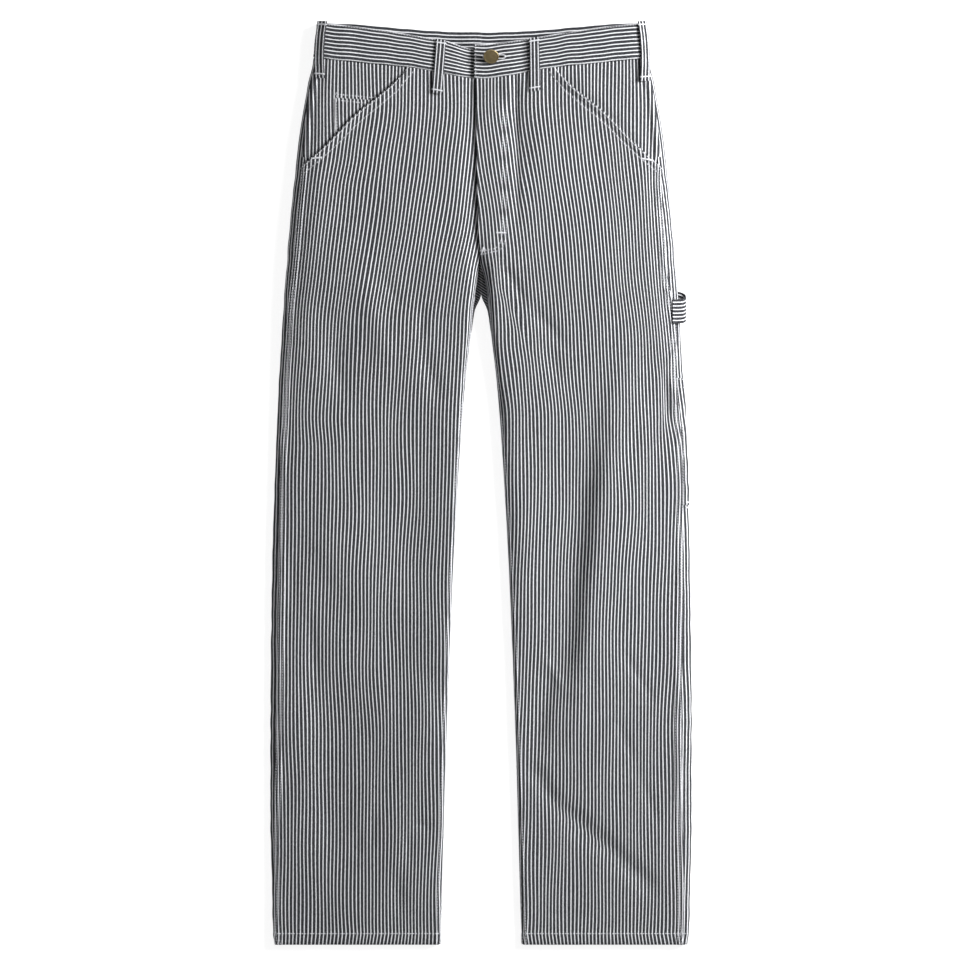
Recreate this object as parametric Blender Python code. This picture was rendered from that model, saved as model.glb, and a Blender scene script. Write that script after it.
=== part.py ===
"""Carpenter trousers in striped denim, lying on their back, flat on a surface.

The waist points along +Y, the wearer's left is +X and +Z is up, away from the surface.
The origin is at the middle of the garment's outline, on the surface that it lies on.
Lengths are millimetres until a mesh is made, and metres after that.

Every cloth piece is a wall that follows one body surface. A section of that surface runs
across one half of the garment: from the fly or the inseam, over the front, round the
side and back along the surface that the garment lies on. Positions along a section are
arc lengths in millimetres. Both halves share the tables, with x measured from the middle
towards the side.
"""

import math

import bmesh
import bpy
from mathutils import Vector

MM = 0.001

# Cloth and sewing
CLOTH = 1.2
SEAM_GAP = 0.3
HEM_DEPTH = 13.0
HEM_CLOTH = 2.2
BAND_HEIGHT = 40.0
BAND_END_DIP = 5.5
BAND_CLOTH = 2.2
BAND_PROUD = 0.5
POCKET_SINK = 1.6
LIFT_REACH = 80.0
LIFT_FADE = 25.0

# Levels along the garment, in the panels' own rows before the waist curves them
HEM_Y = -534.8
CROTCH_Y = 219.2
POCKET_LOW_Y = 369.5
WAIST_CURVE_Y = 386.3
WAIST_SEAM_Y = 471.0
BAND_TOP_Y = WAIST_SEAM_Y + BAND_HEIGHT

# One row for each level: the outline, the loft of the front and how the sides turn down
BODY_COLUMNS = ("y", "outer", "height", "edge", "side_width", "back_inner", "back_turn",
                "seam_right", "seam_left", "lift_left")
BODY_ROWS = (
    (-535.3, 239.5, 9.8, 4.6, 5.0, 47.5, 90.0, 3.5, 10.0, 0.0),
    (-522.3, 241.2, 10.0, 4.6, 6.0, 47.0, 90.0, 3.5, 10.5, 0.0),
    (-500.0, 242.0, 10.2, 4.6, 9.0, 46.3, 90.0, 4.5, 11.0, 0.0),
    (-460.5, 242.8, 10.6, 4.6, 14.0, 45.0, 90.0, 6.0, 12.0, 0.0),
    (-390.9, 244.5, 11.2, 4.8, 18.0, 43.0, 90.0, 8.0, 15.0, 0.0),
    (-298.1, 244.5, 12.0, 5.0, 20.0, 40.3, 90.0, 10.0, 16.5, 0.0),
    (-205.3, 244.0, 12.6, 5.0, 22.0, 36.8, 90.0, 11.0, 15.0, 0.0),
    (-112.5, 242.7, 13.6, 5.5, 24.0, 33.0, 90.0, 11.5, 12.0, 0.0),
    (-60.0, 241.6, 14.3, 5.7, 25.0, 30.6, 90.0, 11.5, 11.0, 0.0),
    (-30.0, 240.5, 14.8, 6.0, 26.0, 28.9, 90.0, 11.0, 10.0, 1.5),
    (49.9, 237.5, 16.8, 6.5, 29.0, 23.8, 90.0, 8.5, 8.0, 1.5),
    (127.0, 234.0, 19.5, 7.0, 32.0, 17.4, 90.0, 8.0, 11.5, 1.5),
    (152.0, 232.4, 20.8, 7.3, 33.0, 14.4, 90.0, 8.0, 9.5, 1.7),
    (177.5, 230.8, 22.0, 7.5, 34.0, 11.0, 90.0, 8.0, 7.5, 2.3),
    (200.7, 229.3, 23.0, 8.0, 35.0, 7.2, 40.0, 8.5, 9.0, 2.3),
    (219.2, 228.2, 24.0, 8.0, 36.0, 0.15, 0.0, 9.0, 12.0, 2.3),
    (235.5, 226.7, 24.5, 8.0, 36.0, 0.15, 0.0, 10.0, 14.0, 2.3),
    (256.4, 225.2, 25.0, 8.0, 36.0, 0.15, 0.0, 10.5, 15.0, 0.6),
    (293.5, 222.3, 25.0, 8.0, 36.0, 0.15, 0.0, 11.0, 15.0, 0.0),
    (339.9, 217.8, 24.0, 8.0, 35.0, 0.15, 0.0, 11.0, 13.0, 0.0),
    (369.5, 214.4, 22.8, 8.0, 33.0, 0.15, 0.0, 10.0, 10.0, 0.0),
    (386.3, 213.0, 22.0, 8.0, 32.0, 0.15, 0.0, 9.0, 9.0, 0.0),
    (432.7, 204.0, 19.5, 7.5, 27.0, 0.15, 0.0, 7.0, 7.0, 0.0),
    (471.0, 194.4, 17.5, 7.0, 20.0, 0.15, 0.0, 6.0, 6.0, 0.0),
    (490.0, 193.0, 16.5, 6.5, 16.0, 0.15, 0.0, 6.0, 6.0, 0.0),
    (510.0, 190.5, 15.0, 6.0, 14.0, 0.15, 0.0, 6.0, 6.0, 0.0),
)

# The front's inner side. Below the crotch it turns down to the inseam, and above it the
# wearer's left front laps over the right one, which dips under it: mix says how far a row
# has changed from the first to the second.
INNER_COLUMNS = ("y", "inner", "width", "base", "mix", "drop", "level")
INNER_ROWS = {
    "right": (
        (-535.3, 47.5, 5.0, 3.6, 0.0, 0.0, 0.0),
        (-522.3, 47.0, 6.0, 3.8, 0.0, 0.0, 0.0),
        (-460.5, 45.0, 13.0, 4.2, 0.0, 0.0, 0.0),
        (-298.1, 40.3, 19.0, 5.0, 0.0, 0.0, 0.0),
        (-112.5, 33.0, 23.0, 5.4, 0.0, 0.0, 0.0),
        (49.9, 23.8, 27.0, 5.4, 0.0, 0.0, 0.0),
        (127.0, 17.4, 28.0, 5.0, 0.0, 0.0, 0.0),
        (177.5, 11.5, 28.0, 4.0, 0.0, 0.0, 0.0),
        (200.7, 9.8, 28.0, 3.0, 0.0, 0.0, 0.0),
        (219.2, 8.2, 28.0, 2.4, 0.0, 3.0, 2.0),
        (235.5, 5.8, 28.0, 3.2, 0.15, 3.6, 3.0),
        (256.4, 2.9, 26.0, 6.0, 0.6, 3.6, 4.0),
        (293.5, -3.0, 30.0, 10.0, 1.0, 3.4, 6.0),
        (386.3, -4.0, 32.0, 10.0, 1.0, 3.0, 9.0),
        (471.0, -4.0, 34.0, 10.0, 1.0, 3.0, 10.0),
        (510.0, -4.0, 34.0, 10.0, 1.0, 3.0, 10.0),
    ),
    "left": (
        (-535.3, 47.5, 5.0, 3.6, 0.0, 0.0, 0.0),
        (-522.3, 47.0, 6.0, 3.8, 0.0, 0.0, 0.0),
        (-460.5, 45.0, 13.0, 4.2, 0.0, 0.0, 0.0),
        (-298.1, 40.3, 19.0, 5.0, 0.0, 0.0, 0.0),
        (-112.5, 33.0, 23.0, 5.4, 0.0, 0.0, 0.0),
        (49.9, 23.8, 27.0, 5.4, 0.0, 0.0, 0.0),
        (127.0, 17.4, 28.0, 5.0, 0.0, 0.0, 0.0),
        (177.5, 11.5, 28.0, 4.0, 0.0, 0.0, 0.0),
        (200.7, 9.8, 28.0, 3.0, 0.0, 0.0, 0.0),
        (219.2, 8.4, 28.0, 2.4, 0.0, 0.6, 0.0),
        (235.5, 5.0, 28.0, 3.2, 0.15, 0.6, 0.0),
        (256.4, -0.6, 26.0, 6.0, 0.6, 0.6, 0.0),
        (293.5, -3.2, 22.0, 10.0, 1.0, 0.6, 0.0),
        (386.3, -5.4, 18.0, 10.0, 1.0, 0.6, 0.0),
        (471.0, -6.4, 18.0, 10.0, 1.0, 0.6, 0.0),
        (510.0, -7.0, 18.0, 10.0, 1.0, 0.6, 0.0),
    ),
}

# The waist seam and the back's top edge, by distance from the middle
WAIST_COLUMNS = ("x", "front_seam", "front_top", "back_top")
WAIST_ROWS = (
    (0.0, 468.4, 508.2, 523.9),
    (18.0, 469.8, 509.8, 524.0),
    (40.0, 473.3, 512.5, 524.7),
    (70.0, 479.2, 517.2, 526.5),
    (100.0, 483.2, 522.3, 529.0),
    (145.0, 487.5, 528.7, 533.0),
    (184.0, 491.5, 532.5, 534.7),
    (200.0, 493.0, 533.6, 535.2),
)

# The slanted mouth of the hip pocket, from the side seam up to the waist
MOUTH_COLUMNS = ("y", "x")
MOUTH_ROWS = (
    (369.5, 204.5), (379.0, 192.7), (388.6, 182.0), (403.0, 166.0), (415.0, 152.7),
    (425.8, 138.0), (435.5, 123.0), (451.0, 102.4), (471.0, 86.0),
)

# Broad soft folds of the front, each from its upper to its lower end, with the widths
# that it fades over on its -X side (left) and its +X side (right)
FOLD_COLUMNS = ("x0", "y0", "x1", "y1", "left", "right", "rise")
FOLD_ROWS = (
    (43.0, 470.0, 46.0, 350.0, 16.0, 16.0, -2.0),
    (205.0, 165.0, 200.0, 60.0, 16.0, 16.0, -1.4),
    (150.0, 75.0, 128.0, -200.0, 19.0, 55.0, 4.5),
    (104.0, -20.0, 83.0, -194.0, 40.0, 17.0, -2.0),
    (94.0, -205.0, 86.0, -310.0, 17.0, 30.0, 2.5),
    (-215.0, -25.0, -110.0, -175.0, 18.0, 40.0, 2.5),
    (-72.0, -222.0, -52.0, -325.0, 18.0, 17.0, 2.2),
    (-214.0, -265.0, -190.0, -350.0, 14.0, 20.0, 1.6),
)

# Pieces sewn on
BELT_LOOP_WIDTH = 12.0
BELT_LOOP_CLOTH = 1.6
BELT_LOOP_COLUMNS = ("name", "side", "top_x", "low_x", "low_y")
BELT_LOOP_ROWS = (
    ("belt_loop_front_right", "right", 46.2, 51.0, 447.0),
    ("belt_loop_front_left", "left", 61.5, 62.2, 448.0),
    ("belt_loop_side_right", "right", 183.4, 186.4, 451.0),
    ("belt_loop_side_left", "left", 186.0, 189.4, 448.0),
)
BUTTON_AT = (11.6, 494.2)
BUTTON_RADIUS = 9.0
BUTTON_TILT = 32.0
BUTTONHOLE = (24.0, 4.4)
COIN_POCKET_SIDE_X = 169.0
COIN_POCKET_TOP_Y = 434.5
TOOL_POCKET_Y = (-25.5, 122.0)
TOOL_POCKET_WIDTH = 84.0
HAMMER_LOOP_Y = 198.8
HAMMER_LOOP_WIDTH = 28.0
HAMMER_LOOP_CLOTH = 1.6
HAMMER_LOOP_REACH = 238.0
HAMMER_LOOP_RISE = 10.0

# Fineness of the meshes
SECTION_STEPS = 24
FRONT_STEPS = (5, 7, 4)
BACK_STEPS = (3, 3, 2, 1, 3, 3)
BAND_STEPS = (5, 7, 4, 4, 3, 3, 3)
LEG_LEVELS = (HEM_Y, -523.3, -521.3, -500.0, -460.5, -415.0, -360.0, -298.1, -250.0,
              -205.3, -158.0, -112.5, -72.0, -28.0, 10.0, 49.9, 88.0, 125.0, 152.0,
              177.5, 200.7, 211.0, 219.2, 227.0, 235.5, 246.0, 256.4, 274.0, 293.5,
              316.0, 339.9)
TOP_LEVELS = tuple(row[0] for row in MOUTH_ROWS)
BAND_LEVELS = (471.5, 484.0, 497.5, 510.9)

SIGN = {"right": -1.0, "left": 1.0}


def read(rows, columns, name, at):
    """The named column of a table at a level, smooth between its rows."""
    place = columns.index(name)
    keys = [row[0] for row in rows]
    values = [row[place] for row in rows]
    if at <= keys[0]:
        return values[0]
    if at >= keys[-1]:
        return values[-1]
    i = max(k for k in range(len(keys) - 1) if keys[k] <= at)
    span = keys[i + 1] - keys[i]
    t = (at - keys[i]) / span

    def slope(k):
        if k in (0, len(keys) - 1):
            return 0.0
        before = (values[k] - values[k - 1]) / (keys[k] - keys[k - 1])
        after = (values[k + 1] - values[k]) / (keys[k + 1] - keys[k])
        return 0.0 if before * after <= 0 else 2 * before * after / (before + after)

    a = 2 * t**3 - 3 * t**2 + 1
    b = t**3 - 2 * t**2 + t
    c = -2 * t**3 + 3 * t**2
    d = t**3 - t**2
    return a * values[i] + b * span * slope(i) + c * values[i + 1] + d * span * slope(i + 1)


def smooth(t):
    """0 below 0, 1 above 1, and a soft step between."""
    t = min(1.0, max(0.0, t))
    return t * t * (3 - 2 * t)


def fold_height(x, y):
    """How far the soft folds raise or lower the front at a point of the garment."""
    total = 0.0
    for row in FOLD_ROWS:
        fold = dict(zip(FOLD_COLUMNS, row))
        along = (fold["x1"] - fold["x0"], fold["y1"] - fold["y0"])
        length = math.hypot(*along)
        away = (x - fold["x0"], y - fold["y0"])
        t = (away[0] * along[0] + away[1] * along[1]) / length**2
        aside = (away[0] * along[1] - away[1] * along[0]) / length
        ends = smooth(t * 3) * smooth((1 - t) * 3)
        width = fold["left"] if aside > 0 else fold["right"]
        total += fold["rise"] * ends * math.exp(-((aside / width) ** 2))
    return total


class Section:
    """The body surface of one half at one level, as points with arc lengths."""

    def __init__(self, side, y, inner=None, drop=None):
        self.side, self.y = side, y
        body = {c: read(BODY_ROWS, BODY_COLUMNS, c, y) for c in BODY_COLUMNS[1:]}
        rows = INNER_ROWS[side]
        front = {c: read(rows, INNER_COLUMNS, c, y) for c in INNER_COLUMNS[1:]}
        if inner is not None:
            front["inner"], front["drop"], front["level"] = inner, drop, abs(inner) + 6
            front["width"] = abs(inner) + 32
        self.outer, self.height, self.edge = body["outer"], body["height"], body["edge"]
        self.lift = body["lift_left"] if side == "left" else 0.0
        self.seam_inset = body["seam_" + side]
        self.back_inner, self.back_turn = body["back_inner"], body["back_turn"]
        self.points = self.front_points(front, body["side_width"])
        self.side_index = len(self.points) - 1
        self.points += self.under_points()
        self.lengths = [0.0]
        for a, b in zip(self.points, self.points[1:]):
            self.lengths.append(self.lengths[-1] + math.hypot(b[0] - a[0], b[1] - a[1]))

    def front_points(self, front, side_width):
        """From the fly or the inseam, over the front, to the outermost point."""
        inner, width = front["inner"], front["width"]
        side_start = self.outer - side_width
        points = []
        for k in range(SECTION_STEPS + 1):
            turn = k / SECTION_STEPS * math.pi / 2
            x = inner + width * (1 - math.cos(turn))
            round_z = front["base"] + (self.height - front["base"]) * math.sin(turn)
            clear = max(width - front["level"], 1.0)
            rise = smooth((x - inner - front["level"]) / clear)
            lapped_z = self.height - front["drop"] * (1 - rise)
            points.append((x, round_z + (lapped_z - round_z) * front["mix"]))
        start = inner + width
        for k in range(1, SECTION_STEPS):
            points.append((start + (side_start - start) * k / SECTION_STEPS, self.height))
        for k in range(SECTION_STEPS + 1):
            turn = k / SECTION_STEPS * math.pi / 2
            z = self.edge + (self.height - self.edge) * math.cos(turn)
            points.append((side_start + side_width * math.sin(turn), z))
        return [(x, z + self.relief(x, inner)) for x, z in points]

    def relief(self, x, inner):
        """The soft folds, fading out at the front's two sides."""
        fade = smooth((x - inner) / 14) * smooth((self.outer - x) / 18)
        return fade * fold_height(SIGN[self.side] * x, self.y)

    def under_points(self):
        """From the outermost point, round and along the surface below, to the middle."""
        radius = self.edge - self.lift
        points = []
        for k in range(1, SECTION_STEPS + 1):
            turn = k / SECTION_STEPS * math.pi / 2
            x = self.outer - radius * (1 - math.cos(turn))
            points.append((x, self.edge - radius * math.sin(turn)))
        turn_end = math.radians(self.back_turn)
        inseam_z = read(INNER_ROWS[self.side], INNER_COLUMNS, "base", self.y) - SEAM_GAP
        radius = max(inseam_z, 0.5)
        centre = self.back_inner + radius * math.sin(turn_end)
        start = self.outer - (self.edge - self.lift)
        for k in range(1, SECTION_STEPS):
            x = start + (centre - start) * k / SECTION_STEPS
            fade = smooth((x - self.outer + LIFT_REACH + LIFT_FADE) / LIFT_FADE)
            points.append((x, self.lift * fade))
        for k in range(SECTION_STEPS // 2 + 1):
            turn = turn_end * k / (SECTION_STEPS // 2)
            z = radius * (1 - math.cos(turn))
            points.append((centre - radius * math.sin(turn), z))
        return points

    def length_at(self, x):
        """The arc length at which the front passes x."""
        for i in range(self.side_index):
            a, b = self.points[i][0], self.points[i + 1][0]
            if a <= x <= b and b > a:
                t = (x - a) / (b - a)
                return self.lengths[i] + t * (self.lengths[i + 1] - self.lengths[i])
        return self.lengths[self.side_index]

    def seam_length(self):
        """The arc length of the side seam, a little in from the outline on the front."""
        return self.length_at(self.outer - self.seam_inset)

    def place(self, length):
        """The point and the outward direction at an arc length."""
        length = min(max(length, 0.0), self.lengths[-1])
        i = 0
        while i < len(self.points) - 2 and self.lengths[i + 1] < length:
            i += 1
        span = max(self.lengths[i + 1] - self.lengths[i], 1e-9)
        t = (length - self.lengths[i]) / span
        a, b = self.points[i], self.points[i + 1]
        point = (a[0] + (b[0] - a[0]) * t, a[1] + (b[1] - a[1]) * t)
        before, after = self.direction(i - 1 + round(t)), self.direction(i + round(t))
        dx, dz = before[0] + after[0], before[1] + after[1]
        size = math.hypot(dx, dz)
        return point, (-dz / size, dx / size)

    def direction(self, i):
        """The unit direction of one stretch of the section."""
        i = min(max(i, 0), len(self.points) - 2)
        a, b = self.points[i], self.points[i + 1]
        if math.hypot(b[0] - a[0], b[1] - a[1]) < 1e-6:
            a = self.points[max(i - 1, 0)]
        dx, dz = b[0] - a[0], b[1] - a[1]
        size = max(math.hypot(dx, dz), 1e-9)
        return dx / size, dz / size

    def solid_point(self, length, offset):
        """A point of the garment, offset along the outward direction, in millimetres."""
        (x, z), (nx, nz) = self.place(length)
        return Vector((SIGN[self.side] * (x + nx * offset), self.row_y(x, z),
                       z + nz * offset))

    def row_y(self, x, z):
        """Rows near the waist bend to follow its seam, which differs front and back."""
        front = read(WAIST_ROWS, WAIST_COLUMNS, "front_seam", abs(x)) - WAIST_SEAM_Y
        back = read(WAIST_ROWS, WAIST_COLUMNS, "back_top", abs(x)) - BAND_TOP_Y
        share = smooth(z / self.edge)
        follow = smooth((self.y - WAIST_CURVE_Y) / (WAIST_SEAM_Y - WAIST_CURVE_Y))
        if self.y > WAIST_SEAM_Y:
            up = (self.y - WAIST_SEAM_Y) / BAND_HEIGHT
            top = read(WAIST_ROWS, WAIST_COLUMNS, "front_top", abs(x)) - BAND_TOP_Y
            front += (top - front) * up
            if self.side == "right":
                front -= BAND_END_DIP * up * smooth((46 - x) / 34)
        return self.y + follow * (back + (front - back) * share)

    def under_at(self, x):
        """The arc length at which the surface below passes x."""
        for i in range(self.side_index, len(self.points) - 1):
            a, b = self.points[i][0], self.points[i + 1][0]
            if b <= x <= a and b < a:
                t = (a - x) / (a - b)
                return self.lengths[i] + t * (self.lengths[i + 1] - self.lengths[i])
        return self.lengths[-1]

    def bend(self, number):
        """The arc length at which one part of the section ends and the next starts."""
        return self.lengths[min(number * SECTION_STEPS, len(self.lengths) - 1)]


def stations(marks, steps):
    """Arc lengths from mark to mark, with a number of even steps in each stretch."""
    result = [marks[0]]
    for a, b, count in zip(marks, marks[1:], steps):
        result += [a + (b - a) * k / count for k in range(1, count + 1)]
    return result


def wall(name, outside, inside, finish):
    """A closed cloth wall between two grids of points, rows by columns."""
    rows, columns = len(outside), len(outside[0])
    mesh = bmesh.new()
    outer = [[mesh.verts.new(p * MM) for p in row] for row in outside]
    inner = [[mesh.verts.new(p * MM) for p in row] for row in inside]
    for i in range(rows - 1):
        for j in range(columns - 1):
            mesh.faces.new((outer[i][j], outer[i][j + 1], outer[i + 1][j + 1],
                            outer[i + 1][j]))
            mesh.faces.new((inner[i][j], inner[i + 1][j], inner[i + 1][j + 1],
                            inner[i][j + 1]))
    rim = [(0, j) for j in range(columns)]
    rim += [(i, columns - 1) for i in range(1, rows)]
    rim += [(rows - 1, j) for j in range(columns - 2, -1, -1)]
    rim += [(i, 0) for i in range(rows - 2, 0, -1)]
    for (i, j), (k, m) in zip(rim, rim[1:] + rim[:1]):
        mesh.faces.new((outer[i][j], inner[i][j], inner[k][m], outer[k][m]))
    bmesh.ops.triangulate(mesh, faces=mesh.faces[:], quad_method="SHORT_EDGE")
    bmesh.ops.recalc_face_normals(mesh, faces=mesh.faces[:])
    return add_object(name, mesh, finish)


def add_object(name, mesh, finish):
    """Puts a finished mesh into the scene as one named sub-part."""
    data = bpy.data.meshes.new(name)
    mesh.to_mesh(data)
    mesh.free()
    data.materials.append(finish)
    piece = bpy.data.objects.new(name, data)
    bpy.context.scene.collection.objects.link(piece)
    data.shade_smooth()
    data.set_sharp_from_angle(angle=math.radians(40))
    return piece


def material(name, colour, roughness, metallic=0.0):
    """A plain Principled finish."""
    finish = bpy.data.materials.new(name)
    finish.use_nodes = True
    shader = finish.node_tree.nodes["Principled BSDF"]
    shader.inputs["Base Color"].default_value = (*colour, 1.0)
    shader.inputs["Roughness"].default_value = roughness
    shader.inputs["Metallic"].default_value = metallic
    return finish


def panel(name, side, levels, columns, finish, cloth=None, offset=0.0):
    """A wall on the body surface: columns gives its arc lengths at each level."""
    outside, inside = [], []
    for y in levels:
        section = Section(side, y)
        lengths = columns(section)
        thick = cloth(y) if cloth else CLOTH
        outside.append([section.solid_point(s, offset) for s in lengths])
        inside.append([section.solid_point(s, offset - thick) for s in lengths])
    return wall(name, outside, inside, finish)


def leg_cloth(y):
    """The leg's cloth is doubled where the hem is turned up."""
    return HEM_CLOTH if y < HEM_Y + HEM_DEPTH else CLOTH


def mouth_x(y):
    """Where the slanted pocket mouth passes a level, from the middle."""
    return read(MOUTH_ROWS, MOUTH_COLUMNS, "x", y)


def add_front(side, finish):
    """A front leg panel, cut away along the slanted pocket mouth."""
    def columns(section):
        seam = section.seam_length() - SEAM_GAP / 2
        turn_down = min(section.bend(2), seam - 6.0)
        lengths = stations((0.0, section.bend(1), turn_down, seam), FRONT_STEPS)
        if section.y > POCKET_LOW_Y:
            share = section.length_at(mouth_x(section.y)) / seam
            lengths = [length * share for length in lengths]
        return lengths

    levels = LEG_LEVELS + TOP_LEVELS
    panel("front_" + side, side, levels, columns, finish, leg_cloth)


def add_back(side, finish):
    """A back leg panel, from the side seam round the outline and under the leg."""
    def columns(section):
        marks = (section.seam_length() + SEAM_GAP / 2,) + under_marks(section)
        return stations(marks, BACK_STEPS)

    levels = LEG_LEVELS + TOP_LEVELS[1::2] + TOP_LEVELS[-1:]
    panel("back_" + side, side, levels, columns, finish, leg_cloth)


def under_marks(section):
    """Where the surface below changes: outermost, flat, lifted part, middle part, end."""
    lifted = section.under_at(section.outer - LIFT_REACH)
    level = section.under_at(section.outer - LIFT_REACH - LIFT_FADE)
    return (section.bend(3), section.bend(4), lifted, level, section.bend(5),
            section.lengths[-1])


def add_pocket_facing(side, finish):
    """The cloth seen inside the slanted mouth, reaching under the front panel."""
    under_front = 24.0
    low = 352.0

    def columns(section):
        edge = mouth_x(max(section.y, POCKET_LOW_Y)) - under_front
        ends = (section.length_at(edge), section.seam_length() + 2.0)
        return stations(ends, (7,))

    levels = (low,) + TOP_LEVELS
    panel("pocket_facing_" + side, side, levels, columns, finish, None, -POCKET_SINK)


def add_coin_pocket(finish):
    """The small pocket on the wearer's right facing, where the mouth leaves it bare."""
    levels = (408.0, 415.0, 425.8, 432.0, COIN_POCKET_TOP_Y)

    def columns(section):
        start = section.length_at(mouth_x(section.y)) + 0.8
        return stations((start, section.length_at(COIN_POCKET_SIDE_X)), (5,))

    panel("coin_pocket", "right", levels, columns, finish, lambda y: 0.9, -0.3)


def band_section(side, y):
    """The waistband's section: the wearer's right end runs on under the left one."""
    if side == "right":
        return Section(side, y, inner=-29.0, drop=BAND_CLOTH + 0.9)
    return Section(side, y, inner=-8.4, drop=0.2)


def add_waistband(side, finish):
    """One half of the waistband, from its front end round the side to the centre back."""
    outside, inside = [], []
    for y in BAND_LEVELS:
        section = band_section(side, y)
        marks = (0.0, section.bend(1), section.bend(2)) + under_marks(section)
        lengths = stations(marks, BAND_STEPS)
        proud = [BAND_PROUD * smooth(section.place(s)[0][1] / 4) for s in lengths]
        outside.append([section.solid_point(s, p) for s, p in zip(lengths, proud)])
        inside.append([section.solid_point(s, p - BAND_CLOTH)
                       for s, p in zip(lengths, proud)])
    band = wall("waistband_" + side, outside, inside, finish)
    if side == "left":
        cut_buttonhole(band)


def cut_buttonhole(band):
    """Cuts the level buttonhole, as a slot with round ends, through the left end."""
    length, height = BUTTONHOLE
    ends = (BUTTON_AT[0] - 8.5, BUTTON_AT[0] - 8.5 + length)
    mesh = bmesh.new()
    corners = []
    for centre, first in ((ends[1] - height / 2, -90), (ends[0] + height / 2, 90)):
        for step in range(5):
            turn = math.radians(first + 45 * step)
            corners.append((centre + height / 2 * math.cos(turn),
                            BUTTON_AT[1] + height / 2 * math.sin(turn)))
    low = [mesh.verts.new(Vector((x, y, 11.0)) * MM) for x, y in corners]
    high = [mesh.verts.new(Vector((x, y, 22.0)) * MM) for x, y in corners]
    mesh.faces.new(low[::-1])
    mesh.faces.new(high)
    for k in range(len(corners)):
        m = (k + 1) % len(corners)
        mesh.faces.new((low[k], low[m], high[m], high[k]))
    cutter = add_object("buttonhole_cutter", mesh, band.data.materials[0])
    cutter.hide_render = True
    cutter.display_type = "WIRE"
    cut = band.modifiers.new("buttonhole", "BOOLEAN")
    cut.operation = "DIFFERENCE"
    cut.object = cutter


def add_belt_loop(row, finish):
    """A belt loop, arching a little off the band between its two sewn ends."""
    loop = dict(zip(BELT_LOOP_COLUMNS, row))
    count = 7
    outside, inside = [], []
    top = BAND_LEVELS[-1]
    for k in range(count):
        t = k / (count - 1)
        section = Section(loop["side"], loop["low_y"] + (top - loop["low_y"]) * t)
        x = loop["low_x"] + (loop["top_x"] - loop["low_x"]) * t
        first = section.length_at(x - BELT_LOOP_WIDTH / 2)
        rest = BAND_PROUD + SEAM_GAP + 0.1
        lift = rest + 1.5 * math.sin(math.pi * t) ** 0.7
        lengths = [first + BELT_LOOP_WIDTH * j / 3 for j in range(4)]
        outside.append([section.solid_point(s, lift + BELT_LOOP_CLOTH) for s in lengths])
        inside.append([section.solid_point(s, lift) for s in lengths])
    wall(loop["name"], outside, inside, finish)


def band_height_at_button():
    """Heights of the two waistband ends under the button: left end, then right end."""
    heights = []
    for side in ("left", "right"):
        section = band_section(side, 490.0)
        x = BUTTON_AT[0] * SIGN[side]
        heights.append(section.solid_point(section.length_at(x), BAND_PROUD).z)
    return heights


def add_button(finish):
    """A shank button: a tilted domed cap on a short stem through the buttonhole."""
    over, under = band_height_at_button()
    tilt = math.radians(BUTTON_TILT)
    low_edge = BUTTON_RADIUS * math.sin(tilt)
    cap_z = over + 0.5 + low_edge
    profile = ((0.0, 2.6), (4.5, 2.4), (7.0, 2.0), (8.0, 2.3), (BUTTON_RADIUS, 1.5),
               (BUTTON_RADIUS, 0.7), (8.2, 0.0))
    mesh = bmesh.new()
    sides = 24
    rings = []
    for radius, z in profile[1:]:
        rings.append([turned(mesh, radius, z, k / sides, tilt, cap_z)
                      for k in range(sides)])
    top = turned(mesh, 0.0, profile[0][1], 0.0, tilt, cap_z)
    for k in range(sides):
        mesh.faces.new((top, rings[0][k], rings[0][(k + 1) % sides]))
    for a, b in zip(rings, rings[1:]):
        for k in range(sides):
            m = (k + 1) % sides
            mesh.faces.new((a[k], b[k], b[m], a[m]))
    mesh.faces.new(rings[-1][::-1])
    cap = add_object("button", mesh, finish)
    stem = stem_mesh(under + SEAM_GAP, cap_z + 1.0)
    stem_part = add_object("button_stem_guide", stem, finish)
    stem_part.hide_render = True
    stem_part.display_type = "WIRE"
    join = cap.modifiers.new("stem", "BOOLEAN")
    join.operation = "UNION"
    join.object = stem_part


def turned(mesh, radius, z, share, tilt, cap_z):
    """A vertex of the tilted button cap."""
    turn = share * 2 * math.pi
    x, y = radius * math.cos(turn), radius * math.sin(turn)
    spot = Vector((x, y * math.cos(tilt) - z * math.sin(tilt),
                   y * math.sin(tilt) + z * math.cos(tilt)))
    return mesh.verts.new((spot + Vector((*BUTTON_AT, cap_z))) * MM)


def stem_mesh(low, high):
    """The button's stem, upright through the buttonhole."""
    mesh = bmesh.new()
    bmesh.ops.create_cone(mesh, cap_ends=True, segments=12, radius1=1.7 * MM,
                          radius2=1.7 * MM, depth=(high - low) * MM)
    shift = Vector((*BUTTON_AT, (high + low) / 2)) * MM
    bmesh.ops.translate(mesh, vec=shift, verts=mesh.verts[:])
    return mesh


def add_tool_pocket(finish):
    """The narrow pocket on the left back panel, lapping round the outline."""
    low, high = TOOL_POCKET_Y
    levels = tuple(low + (high - low) * k / 5 for k in range(6))

    def columns(section):
        start = section.seam_length() + 3.0
        marks = (start, section.bend(3), section.bend(4), start + TOOL_POCKET_WIDTH)
        return stations(marks, (3, 4, 4))

    panel("tool_pocket", "left", levels, columns, finish, None, CLOTH + SEAM_GAP)


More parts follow.
